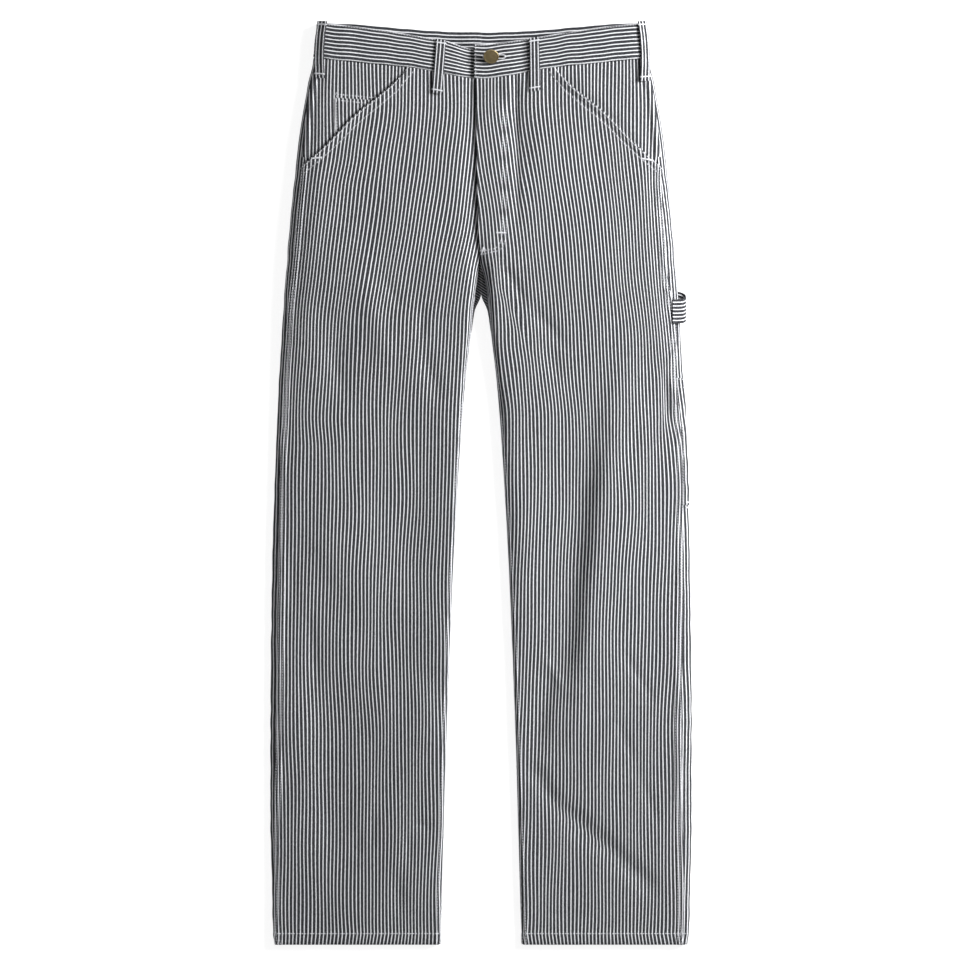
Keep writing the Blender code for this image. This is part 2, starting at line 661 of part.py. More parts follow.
def hammer_loop_route():
    """The loop's line across the leg: off the side seam, out, round and back under."""
    section = Section("left", HAMMER_LOOP_Y)
    rest = SEAM_GAP + HAMMER_LOOP_CLOTH / 2 + 0.1
    seam = section.seam_length()
    start = section.solid_point(seam + 1.0, rest)
    second = section.solid_point(seam + 5.0, rest + 1.2)
    reach = HAMMER_LOOP_REACH - HAMMER_LOOP_CLOTH / 2
    anchors = [
        (start.x, start.z), (second.x, second.z), (reach - 4.2, 15.0), (reach - 1.2, 12.2),
        (reach, 8.8), (reach - 0.8, 5.2), (reach - 3.2, 2.4), (reach - 7.0, 1.2),
        (reach - 12.0, 0.82), (reach - 32.0, 0.82),
    ]
    return anchors


def add_hammer_loop(finish):
    """A strap cut across the stripes, standing out from the outline to hold a hammer."""
    route = hammer_loop_route()
    outside, inside = [], []
    for k, (x, z) in enumerate(route):
        a, b = route[max(k - 1, 0)], route[min(k + 1, len(route) - 1)]
        dx, dz = b[0] - a[0], b[1] - a[1]
        size = math.hypot(dx, dz)
        normal = Vector((-dz / size, 0, dx / size))
        shift = HAMMER_LOOP_RISE * smooth((k - 1) / (len(route) - 3))
        low = HAMMER_LOOP_Y - HAMMER_LOOP_WIDTH / 2 + shift
        for grid, side in ((outside, 0.5), (inside, -0.5)):
            spot = normal * HAMMER_LOOP_CLOTH * side
            grid.append([Vector((x + spot.x, low + HAMMER_LOOP_WIDTH * j / 3, z + spot.z))
                         for j in range(4)])
    wall("hammer_loop", outside, inside, finish)


def main():
    for old in list(bpy.data.objects):
        bpy.data.objects.remove(old)
    denim = material("striped_denim", (0.19, 0.2, 0.23), 0.9)
    strap = material("striped_denim_strap", (0.22, 0.23, 0.26), 0.9)
    brass = material("aged_brass", (0.36, 0.27, 0.13), 0.42, 0.9)
    for side in ("right", "left"):
        add_front(side, denim)
        add_back(side, denim)
        add_pocket_facing(side, denim)
        add_waistband(side, denim)
    for row in BELT_LOOP_ROWS:
        add_belt_loop(row, strap)
    add_coin_pocket(denim)
    add_tool_pocket(denim)
    add_hammer_loop(strap)
    add_button(brass)


main()
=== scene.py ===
import math

import bmesh
import bpy
import numpy as np
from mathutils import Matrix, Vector
from mathutils.bvhtree import BVHTree


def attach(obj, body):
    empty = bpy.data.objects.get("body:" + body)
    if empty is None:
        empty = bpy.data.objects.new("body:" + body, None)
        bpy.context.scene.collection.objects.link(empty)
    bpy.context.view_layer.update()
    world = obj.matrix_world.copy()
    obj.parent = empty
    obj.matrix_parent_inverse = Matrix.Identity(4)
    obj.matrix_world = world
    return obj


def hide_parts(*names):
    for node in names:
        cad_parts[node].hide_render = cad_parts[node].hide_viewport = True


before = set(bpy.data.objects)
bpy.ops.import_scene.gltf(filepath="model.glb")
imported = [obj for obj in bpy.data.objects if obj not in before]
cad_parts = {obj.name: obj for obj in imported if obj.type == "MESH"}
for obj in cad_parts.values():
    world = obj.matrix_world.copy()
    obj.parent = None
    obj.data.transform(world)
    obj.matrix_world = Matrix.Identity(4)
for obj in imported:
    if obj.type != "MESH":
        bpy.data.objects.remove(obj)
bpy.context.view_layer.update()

bl_info = {
    "name": "Carpenter trousers laid flat",
    "version": (1, 0, 0),
    "blender": (4, 5, 0),
    "location": "3D View > Sidebar > Trousers",
    "description": "Dresses carpenter trousers in striped denim, with their seams and sewing",
    "category": "Object",
}

# The waist points along +Y, the wearer's left is +X and the garment lies on its back.
# Lengths are millimetres until a mesh is made, and metres after that.
MM = 0.001
SIGN = {"right": -1.0, "left": 1.0}

# Levels and widths of the cut
HEM_Y = -534.8
HEM_LINE_Y = -521.8
POCKET_LOW_Y = 369.5
WAIST_CURVE_Y = 386.3
WAIST_SEAM_Y = 471.0
PANEL_TOP_YS = (469.8, 470.9)
BAND_HEIGHT = 40.0
BAND_TOP_Y = WAIST_SEAM_Y + BAND_HEIGHT
BAND_END_DIP = 5.5
SEAM_LAP = 3.8
LIFT_REACH = 80.0
LIFT_FADE = 25.0
SECTION_STEPS = 48
STRIP_COLUMNS = 15

# One row for each level: the outline, the loft of the front and how the sides turn down
BODY_COLUMNS = ("y", "outer", "height", "edge", "side_width", "back_inner", "back_turn",
                "seam_right", "seam_left", "lift_left")
BODY_ROWS = (
    (-535.3, 239.5, 9.8, 4.6, 5.0, 47.5, 90.0, 3.5, 10.0, 0.0),
    (-522.3, 241.2, 10.0, 4.6, 6.0, 47.0, 90.0, 3.5, 10.5, 0.0),
    (-500.0, 242.0, 10.2, 4.6, 9.0, 46.3, 90.0, 4.5, 11.0, 0.0),
    (-460.5, 242.8, 10.5, 4.6, 14.0, 45.0, 90.0, 6.0, 12.0, 0.0),
    (-390.9, 244.5, 11.0, 4.8, 18.0, 43.0, 90.0, 8.0, 15.0, 0.0),
    (-298.1, 244.5, 11.5, 5.0, 20.0, 40.3, 90.0, 10.0, 16.5, 0.0),
    (-205.3, 244.0, 11.9, 5.0, 22.0, 36.8, 90.0, 11.0, 15.0, 0.0),
    (-112.5, 242.7, 12.6, 5.5, 24.0, 33.0, 90.0, 11.5, 12.0, 0.0),
    (-60.0, 241.6, 13.1, 5.7, 25.0, 30.6, 90.0, 11.5, 11.0, 0.0),
    (-30.0, 240.5, 13.4, 6.0, 26.0, 28.9, 90.0, 11.0, 10.0, 1.5),
    (49.9, 237.5, 14.9, 6.5, 29.0, 23.8, 90.0, 8.5, 8.0, 1.5),
    (127.0, 234.0, 17.3, 7.0, 32.0, 17.4, 90.0, 8.0, 11.5, 1.5),
    (152.0, 232.4, 18.6, 7.3, 33.0, 14.4, 90.0, 8.0, 9.5, 1.7),
    (177.5, 230.8, 20.1, 7.5, 34.0, 11.0, 90.0, 8.0, 7.5, 2.3),
    (200.7, 229.3, 21.5, 8.0, 35.0, 7.2, 40.0, 8.5, 9.0, 2.3),
    (219.2, 228.2, 22.9, 8.0, 36.0, 0.15, 0.0, 9.0, 12.0, 2.3),
    (235.5, 226.7, 23.8, 8.0, 36.0, 0.15, 0.0, 10.0, 14.0, 2.3),
    (256.4, 225.2, 24.8, 8.0, 36.0, 0.15, 0.0, 10.5, 15.0, 0.6),
    (293.5, 222.3, 25.0, 8.0, 36.0, 0.15, 0.0, 11.0, 15.0, 0.0),
    (339.9, 217.8, 24.0, 8.0, 35.0, 0.15, 0.0, 11.0, 13.0, 0.0),
    (369.5, 214.4, 22.8, 8.0, 33.0, 0.15, 0.0, 10.0, 10.0, 0.0),
    (386.3, 213.0, 22.0, 8.0, 32.0, 0.15, 0.0, 9.0, 9.0, 0.0),
    (432.7, 204.0, 19.5, 7.5, 27.0, 0.15, 0.0, 7.0, 7.0, 0.0),
    (471.0, 194.4, 17.5, 7.0, 20.0, 0.15, 0.0, 6.0, 6.0, 0.0),
    (490.0, 193.0, 16.5, 6.5, 16.0, 0.15, 0.0, 6.0, 6.0, 0.0),
    (510.0, 190.5, 15.0, 6.0, 14.0, 0.15, 0.0, 6.0, 6.0, 0.0),
)

# The front's inner side: down to the inseam below the crotch, lapped at the fly above it
INNER_COLUMNS = ("y", "inner", "width", "base", "mix", "drop", "level")
INSEAM_ROWS = (
    (-535.3, 47.5, 5.0, 3.6, 0.0, 0.0, 0.0),
    (-522.3, 47.0, 6.0, 3.8, 0.0, 0.0, 0.0),
    (-460.5, 45.0, 6.5, 4.2, 0.0, 0.0, 0.0),
    (-298.1, 40.3, 5.5, 5.0, 0.0, 0.0, 0.0),
    (-112.5, 33.0, 5.5, 5.4, 0.0, 0.0, 0.0),
    (49.9, 23.8, 5.5, 5.4, 0.0, 0.0, 0.0),
    (127.0, 17.4, 6.0, 5.0, 0.0, 0.0, 0.0),
    (177.5, 11.5, 6.0, 4.0, 0.0, 0.0, 0.0),
    (200.7, 9.8, 6.5, 3.0, 0.0, 0.0, 0.0),
)
INNER_ROWS = {
    "right": INSEAM_ROWS + (
        (219.2, 6.6, 8.0, 2.4, 0.0, 3.0, 2.0),
        (235.5, 4.2, 11.0, 3.2, 0.15, 3.6, 3.0),
        (256.4, 1.8, 17.0, 6.0, 0.6, 3.6, 4.0),
        (293.5, -3.0, 30.0, 10.0, 1.0, 3.4, 6.0),
        (386.3, -4.0, 32.0, 10.0, 1.0, 3.0, 9.0),
        (471.0, -4.0, 34.0, 10.0, 1.0, 3.0, 10.0),
        (510.0, -4.0, 34.0, 10.0, 1.0, 3.0, 10.0),
    ),
    "left": INSEAM_ROWS + (
        (219.2, 7.0, 8.0, 2.4, 0.0, 0.6, 0.0),
        (235.5, 4.2, 11.0, 3.2, 0.15, 0.6, 0.0),
        (256.4, -0.6, 18.0, 6.0, 0.6, 0.6, 0.0),
        (293.5, -3.2, 22.0, 10.0, 1.0, 0.6, 0.0),
        (386.3, -5.4, 18.0, 10.0, 1.0, 0.6, 0.0),
        (471.0, -6.4, 18.0, 10.0, 1.0, 0.6, 0.0),
        (510.0, -7.0, 18.0, 10.0, 1.0, 0.6, 0.0),
    ),
}

# The waist seam and the back's top edge, by distance from the middle
WAIST_COLUMNS = ("x", "front_seam", "front_top", "back_top")
WAIST_ROWS = (
    (0.0, 468.4, 508.2, 523.9),
    (18.0, 469.8, 509.8, 524.0),
    (40.0, 473.3, 512.5, 524.7),
    (70.0, 479.2, 517.2, 526.5),
    (100.0, 483.2, 522.3, 529.0),
    (145.0, 487.5, 528.7, 533.0),
    (184.0, 491.5, 532.5, 534.7),
    (200.0, 493.0, 533.6, 535.2),
)

# The slanted mouth of the hip pocket, from the side seam up to the waist
MOUTH_COLUMNS = ("y", "x")
MOUTH_ROWS = (
    (365.5, 209.6), (369.5, 204.5), (379.0, 192.7), (388.6, 182.0), (403.0, 166.0),
    (415.0, 152.7), (425.8, 138.0), (435.5, 123.0), (451.0, 102.4), (471.0, 86.0),
)

# Broad folds, near the solids' own, and finer ones that only the cloth has, each from
# its upper to its lower end, with the widths that it fades over on its -X side (left)
# and its +X side (right)
FOLD_COLUMNS = ("x0", "y0", "x1", "y1", "left", "right", "rise")
BROAD_FOLDS = (
    (43.0, 470.0, 46.0, 350.0, 18.0, 12.0, -2.0),
    (205.0, 165.0, 200.0, 60.0, 16.0, 16.0, -1.4),
    (168.0, 190.0, 103.0, -350.0, 17.0, 55.0, 5.0),
    (130.0, 120.0, 84.0, -320.0, 45.0, 16.0, -1.8),
    (26.0, 215.0, 48.0, -260.0, 14.0, 50.0, 2.5),
    (94.0, -205.0, 86.0, -310.0, 17.0, 30.0, 2.0),
    (-215.0, -25.0, -110.0, -175.0, 18.0, 40.0, 2.0),
    (-70.0, 120.0, -100.0, -330.0, 60.0, 32.0, -3.0),
    (-195.0, -150.0, -165.0, -500.0, 16.0, 60.0, -3.0),
    (-72.0, -222.0, -52.0, -325.0, 18.0, 17.0, 1.5),
)
FINE_FOLDS = (
    (23.0, 256.0, 54.0, 204.0, 4.0, 4.0, -2.2),
    (50.0, 210.0, 104.0, 154.0, 6.0, 6.0, -1.8),
    (78.0, 165.0, 90.0, 113.0, 7.0, 7.0, -1.2),
    (152.0, 120.0, 110.0, -310.0, 17.0, 30.0, 1.3),
    (130.0, 90.0, 88.0, -290.0, 30.0, 16.0, -1.2),
    (84.0, -190.0, 62.0, -330.0, 12.0, 10.0, -2.2),
    (65.0, -191.0, 100.0, -244.0, 4.0, 4.0, 1.5),
    (52.0, -318.0, 92.0, -382.0, 9.0, 9.0, -2.4),
    (72.0, -358.0, 166.0, -438.0, 14.0, 10.0, -2.8),
    (138.0, -412.0, 214.0, -484.0, 11.0, 9.0, -2.6),
    (162.0, -191.0, 205.0, -260.0, 4.0, 4.0, -1.5),
    (154.0, -267.0, 181.0, -330.0, 5.0, 5.0, -1.2),
    (179.0, -325.0, 208.0, -403.0, 5.0, 5.0, -1.2),
    (212.0, 131.0, 217.0, 64.0, 3.5, 3.5, -2.2),
    (147.0, 69.0, 142.0, 30.0, 5.0, 5.0, -0.9),
    (181.0, 66.0, 174.0, 28.0, 5.0, 5.0, -0.9),
    (40.5, 492.0, 41.6, 376.0, 4.5, 2.4, -2.8),
    (41.6, 412.0, 42.6, 285.0, 4.0, 2.6, -1.8),
    (28.0, 474.0, 30.0, 440.0, 7.0, 7.0, 0.8),
    (-140.0, 250.0, -104.0, 130.0, 16.0, 9.0, 1.4),
    (-178.0, 220.0, -150.0, 60.0, 20.0, 14.0, -1.4),
    (-66.0, 212.0, -70.0, 160.0, 5.0, 5.0, -1.5),
    (-71.0, 165.0, -44.0, 85.0, 8.0, 8.0, -1.8),
    (-113.0, 238.0, -93.0, 204.0, 5.0, 5.0, -1.2),
    (-175.0, 162.0, -157.0, 96.0, 5.0, 5.0, -1.0),
    (-219.0, -75.0, -217.0, -159.0, 5.0, 5.0, -1.2),
    (-200.0, -144.0, -190.0, -237.0, 5.0, 5.0, -1.5),
    (-124.0, -375.0, -128.0, -430.0, 4.0, 4.0, -1.3),
    (-143.0, -395.0, -145.0, -440.0, 6.0, 6.0, -1.2),
    (-97.0, -450.0, -95.0, -505.0, 7.0, 7.0, -1.5),
    (-85.0, -405.0, -83.0, -445.0, 4.0, 4.0, -1.2),
    (-78.0, -391.0, -55.0, -403.0, 5.0, 5.0, -1.5),
    (-24.0, 190.0, -232.0, 190.0, 2.5, 2.5, -0.35),
    (50.0, 178.0, 228.0, 178.0, 2.5, 2.5, -0.35),
)

# Lines along which a fold takes cloth in, and how much of it on each side
TAKEN_IN_WIDTH = 15.0
TAKEN_IN_STEP = 3.5
TAKEN_IN_COLUMNS = ("x0", "y0", "x1", "y1", "hidden")
TAKEN_IN_ROWS = (
    (41.0, 520.0, 42.6, 280.0, 1.6), (18.0, 272.0, 20.0, 205.0, 1.3),
    (18.0, 236.0, 52.0, 156.0, 1.5), (210.0, 150.0, 213.0, 50.0, 1.5),
    (30.0, 225.0, 66.0, 140.0, -0.9), (72.0, -362.0, 166.0, -438.0, 0.8),
)

# Stripes that are followed down each front: their distance from the middle at each
# level, and how many stripes lie between one and the next
STRIPE_COLUMNS = ("y", "inner", "middle", "outer")
STRIPES_BETWEEN = {"right": (21, 20), "left": (24, 11)}
STRIPE_ROWS = {
    "right": (
        (-483.1, 54.1, 138.2, 224.6), (-390.3, 51.4, 137.7, 223.6),
        (-297.5, 51.5, 137.7, 225.6), (-204.7, 52.7, 141.6, 226.3),
        (-111.9, 53.4, 140.7, 224.9), (-19.1, 50.7, 137.2, 224.0),
        (73.7, 48.6, 139.0, 221.6), (166.5, 43.5, 135.3, 216.7),
        (190.0, 42.6, 134.0, 215.6),
        (236.1, 36.9, 127.3, 211.2), (305.7, 24.0, 116.9, 204.4),
        (375.3, 15.4, 108.5, 197.8), (444.9, 11.0, 100.5, 191.5),
    ),
    "left": (
        (-483.1, 60.9, 160.5, 206.4), (-390.3, 61.0, 161.6, 204.7),
        (-297.5, 62.6, 160.7, 204.2), (-204.7, 65.8, 160.4, 206.8),
        (-111.9, 67.4, 162.1, 208.5), (-19.1, 70.0, 166.1, 211.0),
        (73.7, 69.5, 164.1, 207.2), (120.1, 65.4, 162.8, 205.6),
        (166.5, 60.7, 161.8, 203.0), (178.0, 60.2, 161.4, 202.0),
        (236.1, 55.7, 156.1, 195.9),
        (305.7, 48.8, 150.5, 191.4), (375.3, 38.4, 142.1, 186.5),
        (444.9, 31.1, 135.7, 181.6),
    ),
}

# Pieces sewn on
BELT_LOOP_WIDTH = 12.0
BELT_LOOP_CLOTH = 1.6
BELT_LOOP_STRIPE = 2.1
BELT_LOOP_COLUMNS = ("name", "side", "top_x", "low_x", "low_y", "over", "bulge")
BELT_LOOP_ROWS = (
    ("belt_loop_front_right", "right", 46.2, 51.0, 447.0, 0.0, 0.0),
    ("belt_loop_front_left", "left", 61.5, 62.2, 448.0, 0.0, 0.0),
    ("belt_loop_side_right", "right", 183.4, 186.4, 451.0, 2.6, 1.6),
    ("belt_loop_side_left", "left", 186.0, 189.4, 448.0, 2.6, 1.6),
)
BUTTON_AT = (11.6, 493.6)
BUTTON_TILT = 36.0
BUTTONHOLE = (24.0, 4.4)
BUTTONHOLE_X = BUTTON_AT[0] - 8.5
BUTTONHOLE_SLACK = 0.55
COIN_POCKET_SIDE_X = 169.0
COIN_POCKET_TOP_Y = 434.5
TOOL_POCKET_Y = (-25.5, 122.0)
TOOL_POCKET_WIDTH = 84.0
HAMMER_LOOP_Y = 198.8
HAMMER_LOOP_WIDTH = 28.0
HAMMER_LOOP_CLOTH = 1.6
HAMMER_LOOP_REACH = 238.0
HAMMER_LOOP_RISE = 10.0

# Waves of the cloth that follow no seam, from a fixed seed
WAVE_SEED = 5

# Places of the stage, in metres
KEY_LIGHT_AT = (1.8, 0.8, 1.1)
KEY_LIGHT_SIZE = 1.0
CAMERA_SHIFT = (-0.0013, 0.0038)
CAMERA_FOCUS = 0.012


def read(rows, columns, name, at):
    """The named column of a table at one or many levels, smooth between its rows."""
    keys = np.array([row[0] for row in rows], float)
    values = np.array([row[columns.index(name)] for row in rows], float)
    span = np.diff(keys)
    rise = np.diff(values) / span
    slope = np.zeros(len(keys))
    same = rise[:-1] * rise[1:] > 0
    total = np.where(same, rise[:-1] + rise[1:], 1.0)
    slope[1:-1] = np.where(same, 2 * rise[:-1] * rise[1:] / total, 0.0)
    at = np.clip(at, keys[0], keys[-1])
    i = np.clip(np.searchsorted(keys, at, side="right") - 1, 0, len(keys) - 2)
    t = (at - keys[i]) / span[i]
    a = 2 * t**3 - 3 * t**2 + 1
    b = (t**3 - 2 * t**2 + t) * span[i]
    c = -2 * t**3 + 3 * t**2
    d = (t**3 - t**2) * span[i]
    return a * values[i] + b * slope[i] + c * values[i + 1] + d * slope[i + 1]


def smooth(t):
    """0 below 0, 1 above 1, and a soft step between."""
    t = np.clip(t, 0.0, 1.0)
    return t * t * (3 - 2 * t)


def beside(line, x, y):
    """How much of a line's strength its ends leave at points, and how far aside they are."""
    along = (line["x1"] - line["x0"], line["y1"] - line["y0"])
    length = math.hypot(*along)
    away_x, away_y = x - line["x0"], y - line["y0"]
    t = (away_x * along[0] + away_y * along[1]) / length**2
    aside = (away_x * along[1] - away_y * along[0]) / length
    return smooth(t * 3) * smooth((1 - t) * 3), aside


def fold_height(folds, x, y):
    """How far a table of folds raises or lowers the cloth at points of the garment."""
    total = np.zeros(np.broadcast(x, y).shape)
    for row in folds:
        fold = dict(zip(FOLD_COLUMNS, row))
        ends, aside = beside(fold, x, y)
        width = np.where(aside > 0, fold["left"], fold["right"])
        total = total + fold["rise"] * ends * np.exp(-((aside / width) ** 2))
    return total


def taken_in(x, y):
    """How far stripes are drawn together beside the folds that take cloth in."""
    total = np.zeros(x.shape)
    for row in TAKEN_IN_ROWS:
        line = dict(zip(TAKEN_IN_COLUMNS, row))
        ends, aside = beside(line, x, y)
        near = np.exp(-((aside / TAKEN_IN_WIDTH) ** 2))
        total -= line["hidden"] * ends * np.tanh(aside / TAKEN_IN_STEP) * near
    return total


def waves(x, y, seed, longest, shortest, count=9, lean=0.5):
    """Even, seeded waviness near 1 high: lean narrows the waves to run along the leg."""
    random = np.random.default_rng(seed)
    total = np.zeros(np.broadcast(x, y).shape)
    for _ in range(count):
        length = shortest + (longest - shortest) * random.random()
        turn = (random.random() - 0.5) * math.pi * lean
        phase = random.random() * 2 * math.pi
        along = x * math.cos(turn) + y * math.sin(turn)
        total += np.sin(2 * math.pi * along / length + phase)
    return total / math.sqrt(count)


class HalfSection:
    """The body surface across one half of the garment at one level."""

    def __init__(self, side, y, inner=None, drop=None):
        self.side, self.y = side, y
        body = {c: float(read(BODY_ROWS, BODY_COLUMNS, c, y)) for c in BODY_COLUMNS[1:]}
        rows = INNER_ROWS[side]
        front = {c: float(read(rows, INNER_COLUMNS, c, y)) for c in INNER_COLUMNS[1:]}
        if inner is not None:
            front["inner"], front["drop"], front["level"] = inner, drop, abs(inner) + 6
            front["width"] = abs(inner) + 32
        self.outer, self.height, self.edge = body["outer"], body["height"], body["edge"]
        self.lift = body["lift_left"] if side == "left" else 0.0
        self.seam_inset = body["seam_" + side]
        top_x, top_z = self.over(front, body["side_width"])
        low_x, low_z = self.under(front["base"], body)
        self.turn = len(top_x) - 1
        self.x = np.concatenate((top_x, low_x))
        self.z = np.concatenate((top_z, low_z))
        steps = np.hypot(np.diff(self.x), np.diff(self.z))
        self.lengths = np.concatenate(([0.0], np.cumsum(steps)))

    def over(self, front, side_width):
        """From the fly or the inseam, over the front, to the outermost point."""
        inner, width = front["inner"], front["width"]
        turn = np.linspace(0, math.pi / 2, SECTION_STEPS + 1)
        x = inner + width * (1 - np.cos(turn))
        round_z = front["base"] + (self.height - front["base"]) * np.sin(turn)
        clear = max(width - front["level"], 1.0)
        rise = smooth((x - inner - front["level"]) / clear)
        lapped_z = self.height - front["drop"] * (1 - rise)
        z = round_z + (lapped_z - round_z) * front["mix"]
        start, side_start = inner + width, self.outer - side_width
        middle_x = np.linspace(start, side_start, SECTION_STEPS + 1)[1:-1]
        side_x = side_start + side_width * np.sin(turn)
        side_z = self.edge + (self.height - self.edge) * np.cos(turn)
        x = np.concatenate((x, middle_x, side_x))
        z = np.concatenate((z, np.full(len(middle_x), self.height), side_z))
        fade = smooth((x - inner) / 14) * smooth((self.outer - x) / 18)
        return x, z + fade * fold_height(BROAD_FOLDS, SIGN[self.side] * x, self.y)

    def under(self, base, body):
        """From the outermost point, round and along the surface below, to the middle."""
        radius = self.edge - self.lift
        turn = np.linspace(0, math.pi / 2, SECTION_STEPS + 1)[1:]
        side_x = self.outer - radius * (1 - np.cos(turn))
        side_z = self.edge - radius * np.sin(turn)
        end = math.radians(body["back_turn"])
        inner_radius = max(base - 0.3, 0.5)
        centre = body["back_inner"] + inner_radius * math.sin(end)
        middle_x = np.linspace(self.outer - radius, centre, SECTION_STEPS + 1)[1:-1]
        fade = smooth((middle_x - self.outer + LIFT_REACH + LIFT_FADE) / LIFT_FADE)
        turn = np.linspace(0, end, SECTION_STEPS // 2 + 1)
        inner_x = centre - inner_radius * np.sin(turn)
        inner_z = inner_radius * (1 - np.cos(turn))
        return (np.concatenate((side_x, middle_x, inner_x)),
                np.concatenate((side_z, self.lift * fade, inner_z)))

    def bend(self, number):
        """The arc length at which one part of the section ends and the next starts."""
        return float(self.lengths[min(number * SECTION_STEPS, len(self.lengths) - 1)])

    def length_at(self, x):
        """The arc length at which the front passes x, past its ends in a straight line."""
        top_x = self.x[:self.turn + 1]
        found = np.interp(x, top_x, self.lengths[:self.turn + 1])
        return found + np.minimum(x - top_x[0], 0)

    def under_at(self, x):
        """The arc length at which the surface below passes x."""
        low_x = self.x[self.turn:][::-1]
        return float(np.interp(x, low_x, self.lengths[self.turn:][::-1]))

    def seam(self):
        """The arc length of the side seam, a little in from the outline on the front."""
        return float(self.length_at(self.outer - self.seam_inset))

    def row_y(self, x, z):
        """Rows near the waist bend to follow its seam, which differs front and back."""
        front = read(WAIST_ROWS, WAIST_COLUMNS, "front_seam", np.abs(x)) - WAIST_SEAM_Y
        back = read(WAIST_ROWS, WAIST_COLUMNS, "back_top", np.abs(x)) - BAND_TOP_Y
        share = smooth(z / self.edge)
        follow = smooth((self.y - WAIST_CURVE_Y) / (WAIST_SEAM_Y - WAIST_CURVE_Y))
        if self.y > WAIST_SEAM_Y:
            up = (self.y - WAIST_SEAM_Y) / BAND_HEIGHT
            top = read(WAIST_ROWS, WAIST_COLUMNS, "front_top", np.abs(x)) - BAND_TOP_Y
            front = front + (top - front) * up
            if self.side == "right":
                front = front - BAND_END_DIP * up * smooth((46 - x) / 34)
        return self.y + follow * (back + (front - back) * share)

    def points(self, lengths):
        """Points of the garment at arc lengths, in millimetres."""
        x = np.interp(lengths, self.lengths, self.x)
        z = np.interp(lengths, self.lengths, self.z)
        return np.stack((SIGN[self.side] * x, self.row_y(x, z), z), axis=1)


def stations(marks, counts):
    """Arc lengths from mark to mark, with a number of even steps in each stretch."""
    parts = [np.linspace(a, b, n + 1)[1:] for a, b, n in zip(marks, marks[1:], counts)]
    return np.concatenate(([marks[0]], *parts))


def levels(marks, step):
    """Levels through all the marks, with even steps no longer than step between."""
    found = [marks[0]]
    for a, b in zip(marks, marks[1:]):
        count = max(1, math.ceil((b - a) / step))
        found += [a + (b - a) * k / count for k in range(1, count + 1)]
    return found


def wall_faces(rows, columns):
    """Faces of a closed wall: an outer grid, an inner one and the rim between them."""
    count = rows * columns
    index = np.arange(count).reshape(rows, columns)
    a, b = index[:-1, :-1].ravel(), index[:-1, 1:].ravel()
    c, d = index[1:, 1:].ravel(), index[1:, :-1].ravel()
    rim = np.concatenate((index[0, :-1], index[:-1, -1], index[-1, :0:-1], index[:0:-1, 0]))
    after = np.roll(rim, -1)
    return np.concatenate((np.stack((a, b, c, d), axis=1),
                           np.stack((a, d, c, b), axis=1) + count,
                           np.stack((rim, rim + count, after + count, after), axis=1)))


def wall_mesh(name, outer, inner, chart, quads):
    """A wall's mesh in metres: the chart says which part of the striped cloth it is."""
    corners = np.concatenate((outer.reshape(-1, 3), inner.reshape(-1, 3))) * MM
    chart = np.concatenate((chart, chart)) * MM
    data = bpy.data.meshes.new(name)
    data.from_pydata(corners.tolist(), [], quads.tolist())
    layer = data.uv_layers.new(name="Cloth")
    layer.data.foreach_set("uv", chart[quads.ravel()].ravel())
    return data


def shade(data, sharpest):
    """Smooth shading, but for edges sharper than an angle in degrees."""
    data.shade_smooth()
    data.set_sharp_from_angle(angle=math.radians(sharpest))


class Cloth:
    """A fine grid on the body surface: rows run up the garment, columns round it."""

    def __init__(self, side, rows, columns, section=HalfSection):
        self.side = side
        self.sections = [section(side, y) for y in rows]
        self.arcs = np.array([columns(s) for s in self.sections])
        self.points = np.array([s.points(a) for s, a in zip(self.sections, self.arcs)])
        across = np.gradient(self.points, axis=1)
        up = np.gradient(self.points, axis=0)
        normals = np.cross(across, up) * SIGN[side]
        sizes = np.linalg.norm(normals, axis=2, keepdims=True)
        self.normals = normals / np.maximum(sizes, 1e-9)
        self.rise = np.zeros(self.arcs.shape)
        self.thick = np.full(self.arcs.shape, 1.2)
        self.stripe = self.arcs.copy()
        self.length = self.points[:, :, 1].copy()

    def from_start(self):
        """Arc lengths from the grid's first column."""
        return self.arcs - self.arcs[:, :1]

    def from_end(self):
        """Arc lengths to the grid's last column."""
        return self.arcs[:, -1:] - self.arcs

    def round_edges(self, radius=0.7, sides=(True, True, True, True)):
        """Turns the outer face down a little at its edges: start, end, bottom, top."""
        low = np.abs(self.points[:, :, 1] - self.points[:1, :, 1])
        high = np.abs(self.points[-1:, :, 1] - self.points[:, :, 1])
        nearest = np.full(self.arcs.shape, 99.0)
        for used, away in zip(sides, (self.from_start(), self.from_end(), low, high)):
            if used:
                nearest = np.minimum(nearest, away)
        inside = np.clip(1 - nearest / radius, 0, 1)
        turned = radius * (1 - np.sqrt(1 - inside**2))
        self.rise = self.rise - turned
        self.thick = self.thick - turned

    def mesh(self, name):
        """A closed wall: the outer face at rise, the inner one a thickness below it."""
        outer = self.points + self.normals * self.rise[:, :, None]
        inner = outer - self.normals * np.maximum(self.thick, 0.35)[:, :, None]
        quads = wall_faces(*self.arcs.shape)
        if self.side == "right":
            quads = quads[:, ::-1]
        chart = np.stack((self.stripe.ravel(), self.length.ravel()), axis=1)
        data = wall_mesh(name, outer, inner, chart, quads)
        shade(data, 50)
        return data


def add_object(name, data):
    """A new object in the scene."""
    made = bpy.data.objects.new(name, data)
    bpy.context.scene.collection.objects.link(made)
    return made


def make_plain(piece):
    """Leaves a plain mesh in place of a piece's modifiers."""
    bpy.context.view_layer.update()
    graph = bpy.context.evaluated_depsgraph_get()
    result = bpy.data.meshes.new_from_object(piece.evaluated_get(graph))
    piece.modifiers.clear()
    piece.data = result


